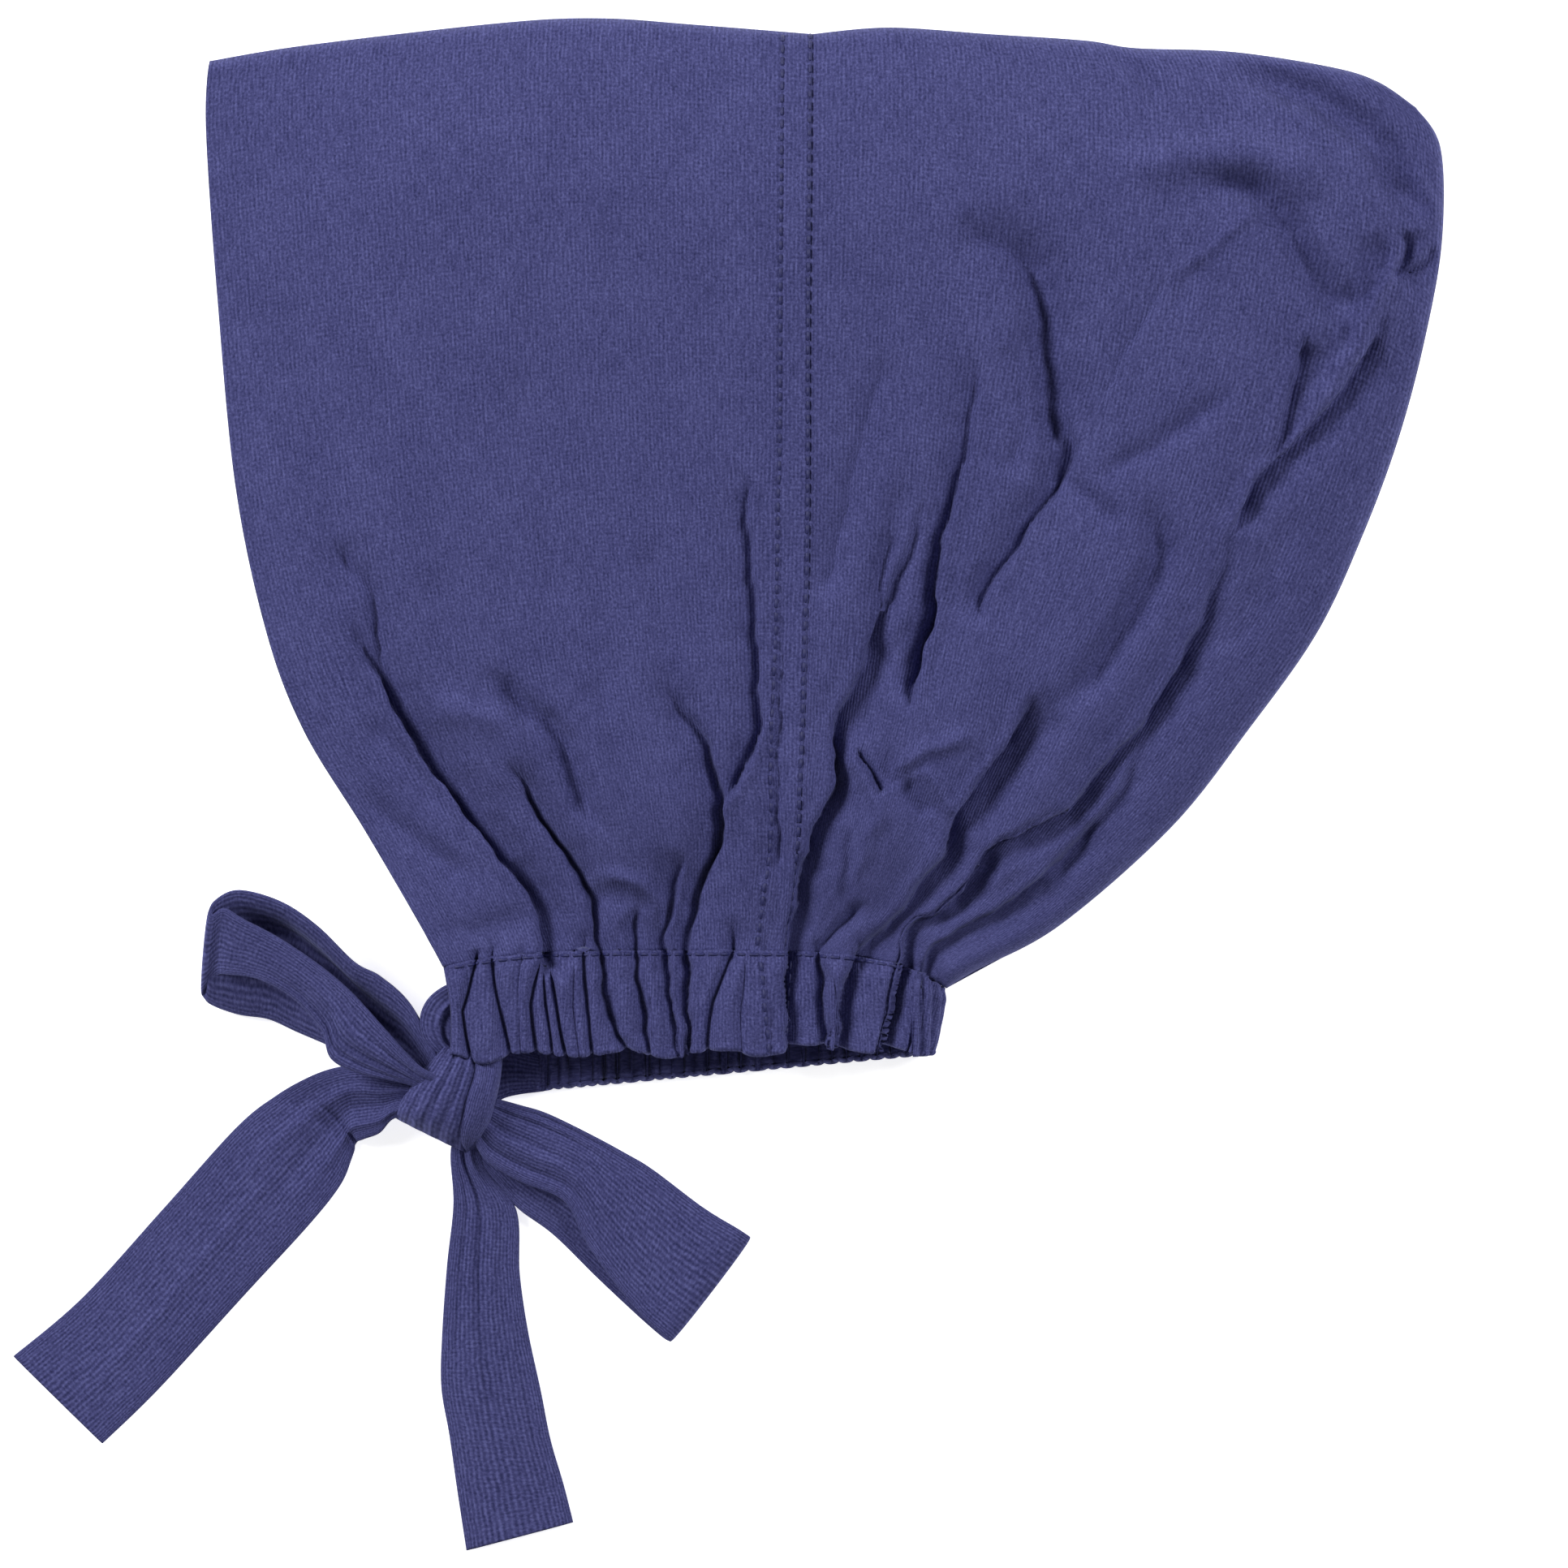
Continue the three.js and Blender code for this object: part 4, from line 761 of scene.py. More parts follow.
def casing_band(s, down):
    """Outer surface of the casing at s along the band and down its width, 0 to 1.

    The relief is a low arch across the width, plus a faint ripple and the hem's rim, less the ditches:
    those of the body's creases and of the gathers press into the upper strip, finer ones into the turn
    and the lower strip. The stitch row sinks it too, and its left end is rounded off.
    """
    radius = CASING_HEIGHT / 2
    x, share, angle, slip = strip_place(s)
    edge = neck_point(share)[..., 1] - LOWER_DROP * slip
    hem = neck_point(0.5)[1] - CASING_WIDTH - LOWER_DROP * slip
    upper = 1 - smooth_step((s - UPPER_FADE[0]) / UPPER_FADE[1])
    hem = hem + hem_line(x) * upper
    lean = smooth_step((share - LEAN_SHARE) / 0.1) * (1 - smooth_step((s - LEAN_FADE[0]) / LEAN_FADE[1]))
    x = x - CASING_LEAN * down * lean
    x = x + CASING_TUCK * np.sin(0.7 * np.pi * down) * (1 - smooth_step(share / TUCK_SHARE)) * upper
    y = mix(edge, hem, down)
    press, drawn = gather_relief(x, down, np.zeros(s.shape))
    creases, shift = folds(np.stack(np.broadcast_arrays(x, y), axis=-1))
    flat = upper * (s < 1)
    places = on_mat([(g, 0) for g in LOWER_GATHERS])[:, 0]
    around = x + radius * (np.pi / 2 - angle) * (s < 2)
    lower_press = FINE_DEPTH * np.exp(-np.abs(x[..., None] - places).min(axis=-1) / FINE_WIDTH)
    turn_press = FINE_DEPTH * np.exp(-np.abs(((around / TURN_PITCH) % 1) - 0.5) * TURN_PITCH / FINE_WIDTH)
    fine = np.where(s > 2, lower_press, turn_press * (s > TURN_START))
    arch = CASING_PUFF * (1 - np.abs(2 * down - 1) ** ARCH_POWER) * smooth_step(down / ARCH_RISE)
    sink = CASING_SINK * np.exp(-((down - ROW_DOWN) / ROW_BAND) ** 2)
    rim = HEM_RIM * np.exp(-((down - RIM_DOWN) / RIM_BAND) ** 2)
    end = CASING_END * (1 - np.sqrt(np.clip(1 - (1 - np.clip(s / END_SHARE, 0, 1)) ** 2, 0, 1)))
    ripple = CASING_RIPPLE * np.sin(0.9 * x + 4 * down) * np.sin(np.pi * down) * upper
    ditches = np.maximum(press, creases * NECK_HOLD) * flat
    relief = arch * ARCH_SHARE + ripple + rim - ditches - fine - sink - end
    scallop = HEM_WAVE * (ditches + fine * (s > 2)) * smooth_step((down - SCALLOP_START) / 0.3)
    out = radius + relief
    across = (drawn + shift[..., 0] * NECK_HOLD) * flat
    return np.stack([x + across + out * np.cos(angle), y + scallop, radius + out * np.sin(angle)], axis=-1)


def make_casing():
    """Grid of the band, with its UV in millimetres along and across it."""
    steps = CASING_STEPS
    s = np.concatenate([
        np.linspace(0, 1, steps["upper"], endpoint=False),
        np.linspace(1, 2, steps["turn"], endpoint=False),
        np.linspace(2, 3, steps["lower"]),
    ])
    down, along = np.meshgrid(np.linspace(0, 1, CASING_ROWS), s, indexing="ij")
    points = casing_band(along, down)
    points[..., 2] = np.maximum(points[..., 2], 0)
    length = np.cumsum(np.concatenate([[0], span(points[UV_ROW, 1:], points[UV_ROW, :-1])]))
    uv = np.stack([np.broadcast_to(length, down.shape), down * CASING_WIDTH], axis=-1)
    faces = grid_faces(*down.shape)[:, ::-1]
    piece = cloth_object("casing_cloth", points.reshape(-1, 3), faces, uv.reshape(-1, 2))
    return add_wall(piece, CASING_SHEET)


casing_cloth = make_casing()
print("casing:", len(casing_cloth.data.polygons), "quads")

# %% [markdown]
# ## The bow
#
# The tie is a flat tube of the same jersey, 26 mm wide, seamed inside. Each length of it is described
# by its two edges: a row gives a point of the left edge, a point of the right edge, both on the mat,
# and the height of each above the table. A flattened tube is then swept between them, and soft creases
# that start at the knot run out along it.

# %% Ribbons between two edges
TIE_WALL = 1.8
RIBBON_AROUND = 96
RIBBON_STEP = 0.6
RIBBON_LEAST = 12
RIBBON_SAMPLES = 200
FADE_IN = 0.15
FADE_OUT = 0.25


def edge_pair(rows):
    """Left and right edge curves in millimetres from rows (left x, y, right x, y, left z, right z)."""
    table = np.asarray(rows, float)
    left = np.column_stack([on_mat(table[:, 0:2]), table[:, 4]])
    right = np.column_stack([on_mat(table[:, 2:4]), table[:, 5]])
    return left, right


def paired_curves(rows, count):
    """Both edges sampled at the same share of their joint length, so that they stay paired."""
    left, right = edge_pair(rows)
    both = smooth_curve(np.hstack([left, right]))(np.linspace(0, 1, count))
    return both[:, :3], both[:, 3:]


def ribbon_surface(left, right, wall, creases):
    """Flattened tube between two edges, points in rows round the tube.

    Round the tube an angle g goes once round. Across the width the place is (1 - cos g) / 2, and the
    side of the wall is the root of |sin g| with the sign of sin g, which makes flat faces and round
    edges. Creases add depth * fade along * a bell curve across to both faces alike, so the wall stays
    even.
    """
    count = len(left)
    g = np.linspace(0, 2 * np.pi, RIBBON_AROUND, endpoint=False)
    across = (1 - np.cos(g)) / 2
    side = np.sign(np.sin(g)) * np.abs(np.sin(g)) ** 0.5
    middle = mix(left[:, None, :], right[:, None, :], across[None, :, None])
    ahead = np.gradient((left + right) / 2, axis=0)
    normal = np.cross(right - left, ahead)
    normal /= np.linalg.norm(normal, axis=1, keepdims=True)
    along = np.linspace(0, 1, count)[:, None]
    relief = np.zeros((count, RIBBON_AROUND))
    for at, drift, width, depth, start, end in creases:
        place = at + drift * along
        starts = smooth_step((along - start) / FADE_IN + 0.5)
        fade = starts * (1 - smooth_step((along - end) / FADE_OUT + 0.5))
        relief += depth * fade * np.exp(-(((across[None, :] - place) / width) ** 2))
    height = side[None, :] * wall / 2 + relief
    return middle + normal[:, None, :] * height[..., None]


def make_ribbon(name, rows, creases):
    """Ribbon object: tube faces, and a strip of quads over each end where the tube is cut."""
    left, right = paired_curves(rows, RIBBON_SAMPLES)
    length = span((left + right)[1:] / 2, (left + right)[:-1] / 2).sum()
    count = max(int(length / RIBBON_STEP), RIBBON_LEAST)
    left, right = paired_curves(rows, count)
    points = ribbon_surface(left, right, TIE_WALL, creases)
    points[..., 2] = np.maximum(points[..., 2], 0)
    middle = (left + right) / 2
    run = np.concatenate([[0], np.cumsum(span(middle[1:], middle[:-1]))])
    g = np.linspace(0, 2, RIBBON_AROUND, endpoint=False)
    width = np.median(span(left, right))
    uv = np.stack(np.broadcast_arrays(g[None, :] * width, run[:, None]), axis=-1)
    faces = grid_faces(count, RIBBON_AROUND, wrap=True)
    flat = points.reshape(-1, 3)
    first = np.arange(RIBBON_AROUND)[::-1]
    last = first[::-1] + (count - 1) * RIBBON_AROUND
    half = RIBBON_AROUND // 2
    caps = []
    for ring in (first, last):
        p, q = ring[:half], ring[half:][::-1]
        caps.append(np.stack([p[:-1], p[1:], q[1:], q[:-1]], axis=-1))
    faces = np.vstack([faces, *caps])
    return cloth_object(name, flat, faces, uv.reshape(-1, 2))


# %% Tables of the bow's ribbons
# Each row: left x and y, right x and y, height of the left edge and of the right edge
TAIL_LEFT = [
    (530, 1326, 520, 1372, 7, 6),
    (505, 1325, 486, 1378, 6.4, 5),
    (478, 1318, 468, 1396, 5.6, 3.6),
    (448, 1312, 448, 1404, 4.6, 2.4),
    (420, 1314, 437, 1410, 3.6, 1.6),
    (385, 1325, 432, 1430, 2.4, 1),
    (340, 1350, 418, 1462, 1.6, 1),
    (290, 1390, 380, 1510, 1.2, 1),
    (200, 1490, 300, 1597, 1, 1),
    (100, 1600, 195, 1712, 1, 1),
    (15, 1672, 125, 1780, 1, 1),
]
TAIL_LOWER = [
    (590, 1400, 560, 1395, 5, 5),
    (600, 1440, 555, 1425, 3, 3),
    (636, 1492, 558, 1485, 1.6, 1.6),
    (640, 1570, 550, 1560, 1, 1),
    (650, 1640, 544, 1645, 1, 1),
    (666, 1715, 543, 1710, 1, 1),
    (678, 1775, 553, 1770, 1, 1),
    (694, 1830, 563, 1840, 1, 1),
    (706, 1877, 574, 1912, 1, 1),
]
LOOP_LOWER = [
    (612, 1352, 585, 1405, 8, 7),
    (640, 1360, 600, 1430, 7, 6),
    (675, 1371, 640, 1455, 6, 5),
    (726, 1396, 695, 1480, 4.6, 4.4),
    (772, 1421, 722, 1530, 4.2, 4),
    (805, 1441, 757, 1580, 4, 3.8),
    (866, 1487, 792, 1622, 4, 3.6),
    (910, 1514, 817, 1645, 3.8, 3.4),
    (924, 1524, 825, 1653, 2.4, 2.2),
    (908, 1514, 815, 1648, 1, 1),
    (862, 1487, 784, 1621, 1, 1),
    (800, 1447, 735, 1575, 1, 1),
    (735, 1408, 682, 1523, 1.2, 1),
    (680, 1380, 638, 1490, 2.4, 1.4),
    (640, 1368, 611, 1458, 3.6, 2.4),
    (610, 1362, 583, 1424, 4.4, 3.6),
]
LOOP_UPPER = [
    (548, 1326, 530, 1345, 12, 9),
    (520, 1312, 506, 1334, 13, 9),
    (482, 1270, 447, 1321, 13.6, 10),
    (452, 1236, 411, 1303, 13.8, 10),
    (430, 1214, 399, 1268, 13.8, 10),
    (400, 1189, 366, 1230, 13.8, 10.4),
    (350, 1155, 324, 1206, 13.8, 10),
    (304, 1131, 286, 1200, 13.6, 7.6),
    (281, 1118, 268, 1202, 13.2, 5),
    (266, 1126, 251, 1220, 12.6, 3),
    (268, 1110, 256, 1236, 12.6, 1.6),
    (298, 1096, 292, 1250, 12.6, 1.2),
    (350, 1110, 330, 1256, 12.8, 1.2),
    (395, 1140, 366, 1272, 12.6, 1.2),
    (440, 1184, 408, 1290, 12, 1.6),
    (472, 1202, 450, 1312, 11, 3),
    (508, 1236, 496, 1320, 10, 5),
    (542, 1300, 528, 1328, 9, 6),
]
# Each row: place across, its drift along the ribbon, width, depth, start and end along
TAIL_LEFT_CREASES = [
    (0.3, 0.1, 0.08, -0.8, 0, 0.4),
    (2.86, -11, 0.07, 3.2, 0.12, 0.18),
    (3.15, -11, 0.16, 1.6, 0.14, 0.24),
    (0.55, 0.12, 0.1, 0.7, 0, 0.35),
    (0.8, -0.1, 0.05, -0.6, 0, 0.3),
    (0.42, 0.2, 0.06, -0.4, 0.3, 0.9),
]
TAIL_LOWER_CREASES = [
    (0.62, -0.15, 0.05, -0.9, 0, 0.75),
    (0.35, 0.1, 0.1, 0.6, 0, 0.5),
    (0.1, 0.05, 0.05, -0.6, 0.55, 0.9),
    (0.78, 0.08, 0.03, -0.5, 0.1, 0.6),
]
LOOP_LOWER_CREASES = [
    (0.2, 0.05, 0.04, -0.7, 0, 0.2),
    (0.45, 0.3, 0.05, -0.5, 0, 0.25),
    (0.6, -0.1, 0.1, 0.7, 0, 0.25),
    (0.8, 0.0, 0.05, -0.7, 0, 0.2),
    (0.07, 0, 0.02, -0.5, 0.05, 0.3),
]
LOOP_UPPER_CREASES = [
    (0.3, 0.2, 0.06, 0.7, 0, 0.15),
    (0.62, 0.1, 0.05, 0.9, 0.02, 0.2),
    (0.85, -0.2, 0.06, 0.7, 0.08, 0.3),
    (0.4, 0.1, 0.14, -0.6, 0.1, 0.3),
    (0.02, 0.5, 0.17, -6.5, 0.6, 0.88),
]

tail_left_cloth = make_ribbon("tail_left_cloth", TAIL_LEFT, TAIL_LEFT_CREASES)
tail_lower_cloth = make_ribbon("tail_lower_cloth", TAIL_LOWER, TAIL_LOWER_CREASES)
loop_lower_cloth = make_ribbon("loop_lower_cloth", LOOP_LOWER, LOOP_LOWER_CREASES)
loop_upper_cloth = make_ribbon("loop_upper_cloth", LOOP_UPPER, LOOP_UPPER_CREASES)

# %% [markdown]
# ## The knot and the leads
#
# A real knot is the tie wound over itself, with the ends passing through. Here it is two straps side by
# side, and the ties end at them. Each is a domed pad between two edges, with the cloth's gathers as ribs
# along it: the height is a super-ellipse across the strap, so it is full in the middle and turns down
# sharply at its borders. The leads are ribbons like those of the bow.

# %% Straps of the knot
STRAP_ROUND = 2.6
STRAP_ROWS = 90
STRAP_POINTS = 49
STRAP_DRIFT = 0.25
STRAP_DRIFT_SHARE = 0.2
STRAP_SWAY = 0.15
STRAP_SWAY_RATE = 5
STRAP_UV = 30


def make_strap(name, rows, ribs, rib_depth, seed):
    """Domed strap between two edges given on the mat, closed underneath and at both ends.

    Across the strap, b from 0 to 1, the height over the base is dome * (1 - |2b - 1|^2.6)^(1/2.6), less
    the ribs' grooves: rib_depth * (1 - |a sine of b|), whose phase sways along the strap.
    """
    table = np.asarray(rows, float)
    count = STRAP_ROWS
    curve = smooth_curve(np.column_stack([on_mat(table[:, 0:2]), on_mat(table[:, 2:4]), table[:, 4:6]]))
    both = curve(np.linspace(0, 1, count))
    b = (1 - np.cos(np.linspace(0, np.pi, STRAP_POINTS))) / 2
    dome = np.clip(1 - np.abs(2 * b - 1) ** STRAP_ROUND, 0, 1) ** (1 / STRAP_ROUND)
    rng = np.random.default_rng(seed)
    along = np.linspace(0, 1, count)[:, None]
    drift = rng.uniform(-STRAP_DRIFT, STRAP_DRIFT) * along
    sway = STRAP_SWAY * np.sin(STRAP_SWAY_RATE * along + seed)
    wave = np.abs(np.sin(np.pi * (ribs * (b[None, :] + drift * STRAP_DRIFT_SHARE) + sway)))
    plan = mix(both[:, None, 0:2], both[:, None, 2:4], b[None, :, None])
    top = both[:, None, 4] * dome + rib_depth * (wave - 1) * dome
    base = both[:, None, 5] * np.ones(len(b))
    upper = np.concatenate([plan, (base + top)[..., None]], axis=-1)
    under = np.concatenate([plan, base[..., None]], axis=-1)[:, 1:-1][:, ::-1]
    ring = np.concatenate([upper, under], axis=1)
    around = ring.shape[1]
    faces = grid_faces(count, around, wrap=True)
    ends = []
    half = around // 2
    for row, flip in ((0, False), (count - 1, True)):
        start = row * around
        p = start + np.arange(half)
        q = start + around - 1 - np.arange(half)
        cap = np.stack([p[:-1], q[:-1], q[1:], p[1:]], axis=-1)
        ends.append(cap[:, ::-1] if flip else cap)
    faces = np.vstack([faces, *ends])
    run = np.concatenate([[0], np.cumsum(span(both[1:, 0:2], both[:-1, 0:2]))])
    uv = np.stack(np.broadcast_arrays(np.linspace(0, STRAP_UV, around)[None, :], run[:, None]), axis=-1)
    return cloth_object(name, ring.reshape(-1, 3), faces, uv.reshape(-1, 2))


# Each row: left x and y, right x and y, dome, and height of the base
WRAP = [
    (545, 1285, 600, 1298, 6, 5),
    (530, 1304, 600, 1318, 9, 4),
    (515, 1322, 597, 1340, 11, 2.5),
    (503, 1337, 592, 1362, 12, 1.4),
    (493, 1354, 586, 1386, 11.6, 1),
    (486, 1366, 582, 1404, 9.6, 1),
    (483, 1375, 579, 1422, 6, 1),
]
STRAP = [
    (583, 1288, 621, 1288, 3, 6.5),
    (583, 1306, 620, 1310, 4.2, 7.6),
    (580, 1326, 617, 1334, 4.8, 8),
    (573, 1346, 612, 1356, 5, 8),
    (567, 1366, 606, 1378, 5, 7.2),
    (561, 1388, 597, 1396, 4.8, 5.6),
    (564, 1406, 588, 1411, 4, 3.6),
    (573, 1419, 581, 1423, 2.6, 1.4),
]
knot_wrap = make_strap("knot_wrap", WRAP, 5, 0.9, 3)
knot_strap = make_strap("knot_strap", STRAP, 1.4, 0.5, 7)

LEAD_UPPER = [
    (572, 1206, 584, 1250, 10.4, 8),
    (549, 1214, 580, 1254, 10.8, 8),
    (530, 1229, 576, 1260, 10.6, 8),
    (520, 1250, 573, 1267, 10, 8),
    (522, 1273, 573, 1276, 9.6, 8),
    (534, 1290, 576, 1284, 9, 8),
    (552, 1306, 584, 1292, 8.6, 8),
    (570, 1320, 594, 1300, 8, 8),
]
LEAD_LOWER = [
    (664, 1300, 664, 1346, 1.2, 1.2),
    (640, 1292, 640, 1349, 1.6, 1.2),
    (618, 1286, 620, 1354, 2.2, 1.4),
    (596, 1296, 600, 1366, 2.6, 1.6),
    (575, 1316, 580, 1374, 3, 2),
]
LEAD_CREASES = [(0.36, 0.1, 0.06, -0.9, 0, 1), (0.7, 0, 0.08, -0.7, 0, 1)]
lead_upper_cloth = make_ribbon("lead_upper_cloth", LEAD_UPPER, LEAD_CREASES)
lead_lower_cloth = make_ribbon("lead_lower_cloth", LEAD_LOWER, [(0.5, 0, 0.15, 0.4, 0, 1)])

# %% [markdown]
# ## Stitches
#
# Two rows of twin-needle stitches hold the seam allowance and run on down the casing, and one row holds
# the casing's top edge. A stitch is a short rounded bar of thread, sunk by nearly half into the cloth.
# All of them are copies of one small capsule, placed and turned as whole arrays, because there are
# hundreds.

# %% Capsules along a line
STITCH_PITCH = 2.86
STITCH_LENGTH = 2.0
STITCH_THICK = 0.7
STITCH_SIDES = 8
STITCH_RISE = 0.1
RIGHT_ROW = 0.4
CAPSULE_LENGTHS = (-0.5, -0.42, 0, 0.42, 0.5)
CAPSULE_WIDTHS = (0.35, 0.9, 1, 0.9, 0.35)


def capsule():
    """Capsule along +X from a profile of five rings, and its quads; the two ends are small discs."""
    x = np.array(CAPSULE_LENGTHS) * STITCH_LENGTH
    r = np.array(CAPSULE_WIDTHS) * STITCH_THICK / 2
    g = np.linspace(0, 2 * np.pi, STITCH_SIDES, endpoint=False)
    ring = np.stack(np.broadcast_arrays(x[:, None], r[:, None] * np.cos(g), r[:, None] * np.sin(g)), axis=-1)
    faces = grid_faces(5, STITCH_SIDES, wrap=True)
    ends = []
    for base, order in ((0, 1), (4 * STITCH_SIDES, -1)):
        k = base + np.arange(STITCH_SIDES)[::-order]
        ends.append([k[0], k[1], k[2], k[3]])
        ends.append([k[0], k[3], k[4], k[7]])
        ends.append([k[4], k[5], k[6], k[7]])
    return ring.reshape(-1, 3), np.vstack([faces, np.array(ends)])


def make_stitches(name, line):
    """A capsule for each pitch along the line: ahead, up and sideways make its three axes."""
    run = np.concatenate([[0], np.cumsum(span(line[1:], line[:-1]))])
    at = np.arange(STITCH_PITCH / 2, run[-1], STITCH_PITCH)
    place = np.stack([np.interp(at, run, axis) for axis in line.T], axis=-1)
    after = np.stack([np.interp(at + STITCH_LENGTH / 2, run, axis) for axis in line.T], axis=-1)
    before = np.stack([np.interp(at - STITCH_LENGTH / 2, run, axis) for axis in line.T], axis=-1)
    ahead = after - before
    ahead /= np.linalg.norm(ahead, axis=1, keepdims=True)
    side = np.cross(np.broadcast_to([0, 0, 1.0], ahead.shape), ahead)
    side /= np.linalg.norm(side, axis=1, keepdims=True)
    up = np.cross(ahead, side)
    shape, quads = capsule()
    axes = np.stack([ahead, side, up], axis=1)
    points = place[:, None, :] + np.einsum("pi,nij->npj", shape, axes)
    faces = quads[None] + (np.arange(len(at)) * len(shape))[:, None, None]
    flat = points.reshape(-1, 3)
    return cloth_object(name, flat, faces.reshape(-1, 4), flat[:, :2])


def seam_row(offset):
    """Line of a stitch row on the front panel, offset to the left of the seam line."""
    t = np.linspace(0.004, 0.996, 700)
    width = span(PANELS["front"]["left"](t), PANELS["front"]["right"](t))
    return cap_surface(PANELS["front"], 1 - offset / width, 1 - t) + (0, 0, STITCH_THICK * STITCH_RISE)


def casing_row():
    """Line of the casing's stitch row, just below its stitched edge."""
    s = np.linspace(0.02, 0.99, 600)
    return casing_band(s, np.full(s.shape, ROW_DOWN)) + (0, 0, STITCH_THICK * STITCH_RISE)


def casing_seam_row(top, hem):
    """Line of the seam's stitches down the casing, from its place at the top to that at the hem."""
    down = np.linspace(0.08, 0.94, 60)
    x = on_mat(np.column_stack([mix(top, hem, down), down]))[:, 0]
    s = (x - neck_point(0)[0]) / (CASING_LENGTH - CASING_HEIGHT / 2)
    return casing_band(s, down) + (0, 0, STITCH_THICK * STITCH_RISE)


seam_stitches_left = make_stitches("seam_stitches_left", seam_row(SEAM_BAND))
seam_stitches_right = make_stitches("seam_stitches_right", seam_row(RIGHT_ROW))
casing_stitches = make_stitches("casing_stitches", casing_row())
casing_seam_left = make_stitches("casing_seam_left", casing_seam_row(931, 942))
casing_seam_right = make_stitches("casing_seam_right", casing_seam_row(974, 966))
stitch_rows = (seam_stitches_left, seam_stitches_right, casing_stitches, casing_seam_left, casing_seam_right)
stitch_points = len(CAPSULE_LENGTHS) * STITCH_SIDES
print("stitches:", sum(len(row.data.vertices) for row in stitch_rows) // stitch_points)

# %% [markdown]
# ## The jersey
#
# Fine jersey: dusk blue, matt, a little lighter where single fibres stand up. Three noises on the
# cloth's own UV make it: long thin streaks along the wales, a fine speckle, and a broad unevenness. Two
# sets of sine bands add the wales and the courses, fainter on the cap than on the tie, whose knit shows
# more. An image of cloth would repeat, and would need a file. The relief of the wales is a bump,
# because they are less than a millimetre wide and real geometry there would be wasted.

# %% Knit material
WALE_PITCH = 0.85
COURSE_PITCH = 0.9
COURSE_SHARE = 0.2
TIE_WALE_PITCH = 0.7
KNIT_SHARE = 0.08
TIE_KNIT_SHARE = 0.16
SPECKLE_SHARE = 0.65
BROAD_SHARE = 0.12
STREAK_SCALE = (170, 26, 1)
SPECKLE_SCALE = (200, 170, 1)
BROAD_SCALE = (9, 5, 1)
RAMP_ENDS = (0.36, 0.64)
CLOTH_DARK = (0.026, 0.028, 0.100, 1)
CLOTH_MAIN = (0.058, 0.060, 0.182, 1)
CLOTH_LIGHT = (0.106, 0.111, 0.292, 1)
THREAD_BLUE = (0.012, 0.013, 0.075, 1)
THREAD_LIGHT = (0.028, 0.032, 0.15, 1)


def node(tree, kind, **settings):
    """New shader node with its settings and input values."""
    made = tree.nodes.new(kind)
    for key, value in settings.items():
        if key in made.inputs:
            made.inputs[key].default_value = value
        else:
            setattr(made, key, value)
    return made


def stretched_noise(tree, uv, scale, detail):
    """Noise on the cloth's UV, stretched by the scale's own proportions."""
    mapping = node(tree, "ShaderNodeMapping", Scale=scale)
    noise = node(tree, "ShaderNodeTexNoise", Scale=1.0, Detail=detail, Roughness=0.6)
    tree.links.new(uv, mapping.inputs["Vector"])
    tree.links.new(mapping.outputs["Vector"], noise.inputs["Vector"])
    return noise.outputs["Fac"]


def bands(tree, uv, direction, pitch):
    """Wavering sine bands across one UV direction; a wave node's own period at scale 1 is 2 pi / 20."""
    wave = node(tree, "ShaderNodeTexWave", Distortion=2.2, Detail=2.0)
    wave.bands_direction = direction
    wave.inputs["Scale"].default_value = 2 * np.pi / 20 / (pitch / UV_LENGTH)
    wave.inputs["Detail Scale"].default_value = 0.6
    tree.links.new(uv, wave.inputs["Vector"])
    return wave.outputs["Fac"]


def blend(tree, first, second, weight):
    """Straight mix of two factors."""
    mixed = node(tree, "ShaderNodeMix", data_type="FLOAT")
    mixed.inputs[0].default_value = weight
    tree.links.new(first, mixed.inputs[2])
    tree.links.new(second, mixed.inputs[3])
    return mixed.outputs[0]


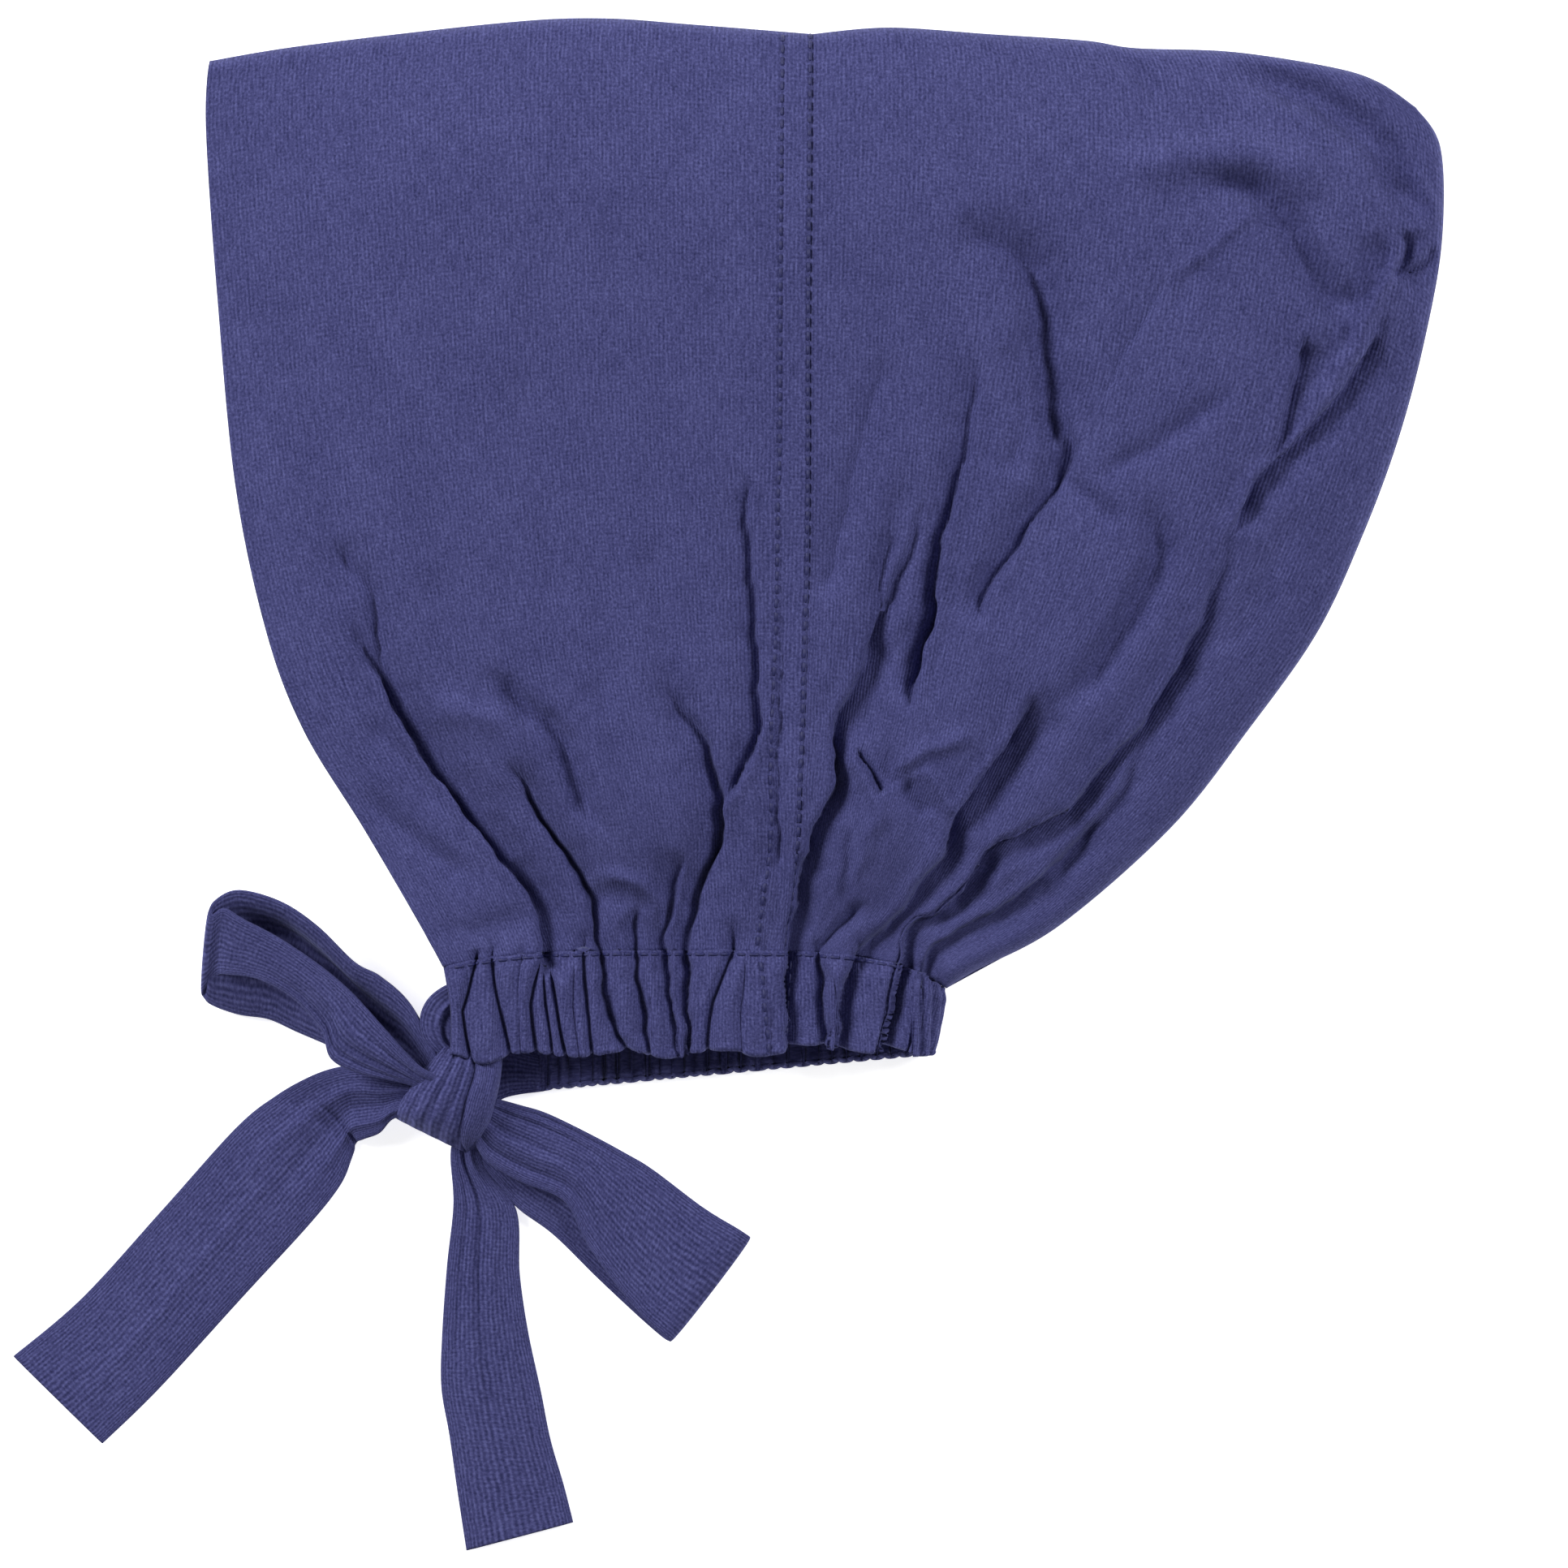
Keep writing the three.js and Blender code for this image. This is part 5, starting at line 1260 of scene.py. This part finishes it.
def knit_material(name, wale_pitch, knit_share):
    """Dusk blue jersey: streaks, speckle, knit and unevenness mixed into one factor, then into a ramp."""
    material = bpy.data.materials.new(name)
    material.use_nodes = True
    tree = material.node_tree
    shader = tree.nodes["Principled BSDF"]
    uv = node(tree, "ShaderNodeUVMap", uv_map="cloth").outputs["UV"]
    streak = stretched_noise(tree, uv, STREAK_SCALE, 3.0)
    speckle = stretched_noise(tree, uv, SPECKLE_SCALE, 2.0)
    broad = stretched_noise(tree, uv, BROAD_SCALE, 3.0)
    knit = blend(tree, bands(tree, uv, "X", wale_pitch), bands(tree, uv, "Y", COURSE_PITCH), COURSE_SHARE)
    factor = blend(tree, streak, speckle, SPECKLE_SHARE)
    factor = blend(tree, factor, broad, BROAD_SHARE)
    factor = blend(tree, factor, knit, knit_share)
    ramp = node(tree, "ShaderNodeValToRGB")
    ramp.color_ramp.elements[0].position = RAMP_ENDS[0]
    ramp.color_ramp.elements[0].color = CLOTH_DARK
    ramp.color_ramp.elements[1].position = RAMP_ENDS[1]
    ramp.color_ramp.elements[1].color = CLOTH_LIGHT
    main = ramp.color_ramp.elements.new(0.5)
    main.color = CLOTH_MAIN
    tree.links.new(factor, ramp.inputs["Fac"])
    tree.links.new(ramp.outputs["Color"], shader.inputs["Base Color"])
    relief = blend(tree, knit, speckle, 0.5)
    bump = node(tree, "ShaderNodeBump", Strength=0.5, Distance=0.0003)
    tree.links.new(relief, bump.inputs["Height"])
    tree.links.new(bump.outputs["Normal"], shader.inputs["Normal"])
    shader.inputs["Roughness"].default_value = 0.9
    shader.inputs["Specular IOR Level"].default_value = 0.15
    shader.inputs["Sheen Weight"].default_value = 0.12
    shader.inputs["Sheen Roughness"].default_value = 0.5
    shader.inputs["Sheen Tint"].default_value = (0.5, 0.55, 0.9, 1)
    return material


def thread_material():
    """Navy thread: a fine noise on its place varies its blue."""
    material = bpy.data.materials.new("navy_thread")
    material.use_nodes = True
    tree = material.node_tree
    shader = tree.nodes["Principled BSDF"]
    place = node(tree, "ShaderNodeTexCoord").outputs["Object"]
    noise = node(tree, "ShaderNodeTexNoise", Scale=1600.0, Detail=1.0)
    tree.links.new(place, noise.inputs["Vector"])
    ramp = node(tree, "ShaderNodeValToRGB")
    ramp.color_ramp.elements[0].color = THREAD_BLUE
    ramp.color_ramp.elements[1].color = THREAD_LIGHT
    tree.links.new(noise.outputs["Fac"], ramp.inputs["Fac"])
    tree.links.new(ramp.outputs["Color"], shader.inputs["Base Color"])
    shader.inputs["Roughness"].default_value = 0.6
    return material


jersey = knit_material("dusk_jersey", WALE_PITCH, KNIT_SHARE)
tie_jersey = knit_material("dusk_tie_jersey", TIE_WALE_PITCH, TIE_KNIT_SHARE)
thread = thread_material()

# %% [markdown]
# Each sheet's row gives the size that it was cut to, in metres, though nothing below reads it. For the two
# panels this is an estimate with the gathers in it. For the tie it is its width and the length of each
# ribbon. The casing's length is its surface over its width. The two leads are built narrower than the tie,
# without the cloth that is folded in there, so their rows give the size that they have and not the cut.

# %% Give each piece its cloth and its body, and hide the CAD nodes that it stands for
# Each row: piece, the CAD nodes that it stands for, flat size, how it is held
PIECES = [
    (front_cloth, ["front_panel"], (0.150, 0.410), "folded"),
    (back_cloth, ["back_panel"], (0.150, 0.410), "folded"),
    (casing_cloth, ["neck_casing"], (0.022, 0.367), "gathered"),
    (tail_left_cloth, ["tie_tail_left"], (0.026, 0.104), "laid"),
    (tail_lower_cloth, ["tie_tail_lower"], (0.026, 0.086), "laid"),
    (loop_lower_cloth, ["bow_loop_lower"], (0.026, 0.119), "folded"),
    (loop_upper_cloth, ["bow_loop_upper"], (0.026, 0.115), "folded"),
    (lead_upper_cloth, ["tie_lead_upper"], (0.010, 0.019), "gathered"),
    (lead_lower_cloth, ["tie_lead_lower"], (0.011, 0.016), "gathered"),
]
for piece, nodes, flat, held in PIECES:
    cap_cloth = piece in (front_cloth, back_cloth, casing_cloth)
    piece.data.materials.append(jersey if cap_cloth else tie_jersey)
    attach(piece, "root")
    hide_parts(*nodes)
for piece in (knot_wrap, knot_strap):
    piece.data.materials.append(tie_jersey)
    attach(piece, "root")
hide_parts("bow_knot")
for piece in stitch_rows:
    piece.data.materials.append(thread)
    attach(piece, "root")

# %% [markdown]
# ## Table, light and camera
#
# A white table that glows a little, so that it stays white in the shade. Two large soft lights stand at
# the upper left and the upper right, because folds that run along one light's direction need the other
# to show, and a faint one below lifts the hem. The camera looks straight down through a long lens, as
# one photographs laid clothes.

# %% Stage
TABLE_HALF = 1.5
TABLE_DROP = 0.0004
TABLE_GLOW = 0.75
LIGHT_AIM = (0, -0.03, 0)
# Each row: name, place, size in metres, power in watts
LIGHTS = [
    ("left_box", (-1.4, 0.7, 1.0), 0.7, 31),
    ("right_box", (1.4, 0.6, 1.0), 0.7, 22),
    ("low_box", (-0.2, -1.4, 1.2), 0.9, 2.5),
]
LENS = 150
SENSOR_WIDTH = 36
WORLD_LIGHT = 0.12


def make_floor():
    """White table: one large square."""
    half = TABLE_HALF
    corners = [(-half, -half, 0), (half, -half, 0), (half, half, 0), (-half, half, 0)]
    mesh = bpy.data.meshes.new("table")
    mesh.from_pydata(corners, [], [(0, 1, 2, 3)])
    table = bpy.data.objects.new("table", mesh)
    bpy.context.scene.collection.objects.link(table)
    table.location.z = -TABLE_DROP
    paint = bpy.data.materials.new("table_white")
    paint.use_nodes = True
    shader = paint.node_tree.nodes["Principled BSDF"]
    shader.inputs["Base Color"].default_value = (0.9, 0.9, 0.9, 1)
    shader.inputs["Roughness"].default_value = 0.9
    shader.inputs["Emission Color"].default_value = (1, 1, 1, 1)
    shader.inputs["Emission Strength"].default_value = TABLE_GLOW
    table.data.materials.append(paint)


def make_light(name, place, size, power):
    """Square area light that looks at the middle of the cap."""
    data = bpy.data.lights.new(name, "AREA")
    data.size = size
    data.energy = power
    light = bpy.data.objects.new(name, data)
    light.location = place
    aim = np.array(LIGHT_AIM) - np.array(place)
    light.rotation_euler = Vector(aim).to_track_quat("-Z", "Y").to_euler()
    bpy.context.scene.collection.objects.link(light)


def make_camera():
    """Camera straight above the mat's centre; its distance is picture width * lens / sensor width.

    The distance counts from half the height of the cap's edge, where its outline lies.
    """
    data = bpy.data.cameras.new("camera")
    data.lens = LENS
    data.sensor_width = SENSOR_WIDTH
    centre = on_mat([(MAT_SIZE / 2, MAT_SIZE / 2)])[0] * MM
    camera = bpy.data.objects.new("camera", data)
    distance = MAT_SIZE * STEP * data.lens / data.sensor_width
    camera.location = (centre[0], centre[1], (distance + EDGE_HEIGHT / 2) * MM)
    bpy.context.scene.collection.objects.link(camera)
    bpy.context.scene.camera = camera


make_floor()
for light in LIGHTS:
    make_light(*light)
make_camera()

world = bpy.data.worlds.new("studio")
world.use_nodes = True
world.node_tree.nodes["Background"].inputs["Color"].default_value = (1, 1, 1, 1)
world.node_tree.nodes["Background"].inputs["Strength"].default_value = WORLD_LIGHT
bpy.context.scene.world = world
bpy.context.scene.view_settings.view_transform = "Standard"
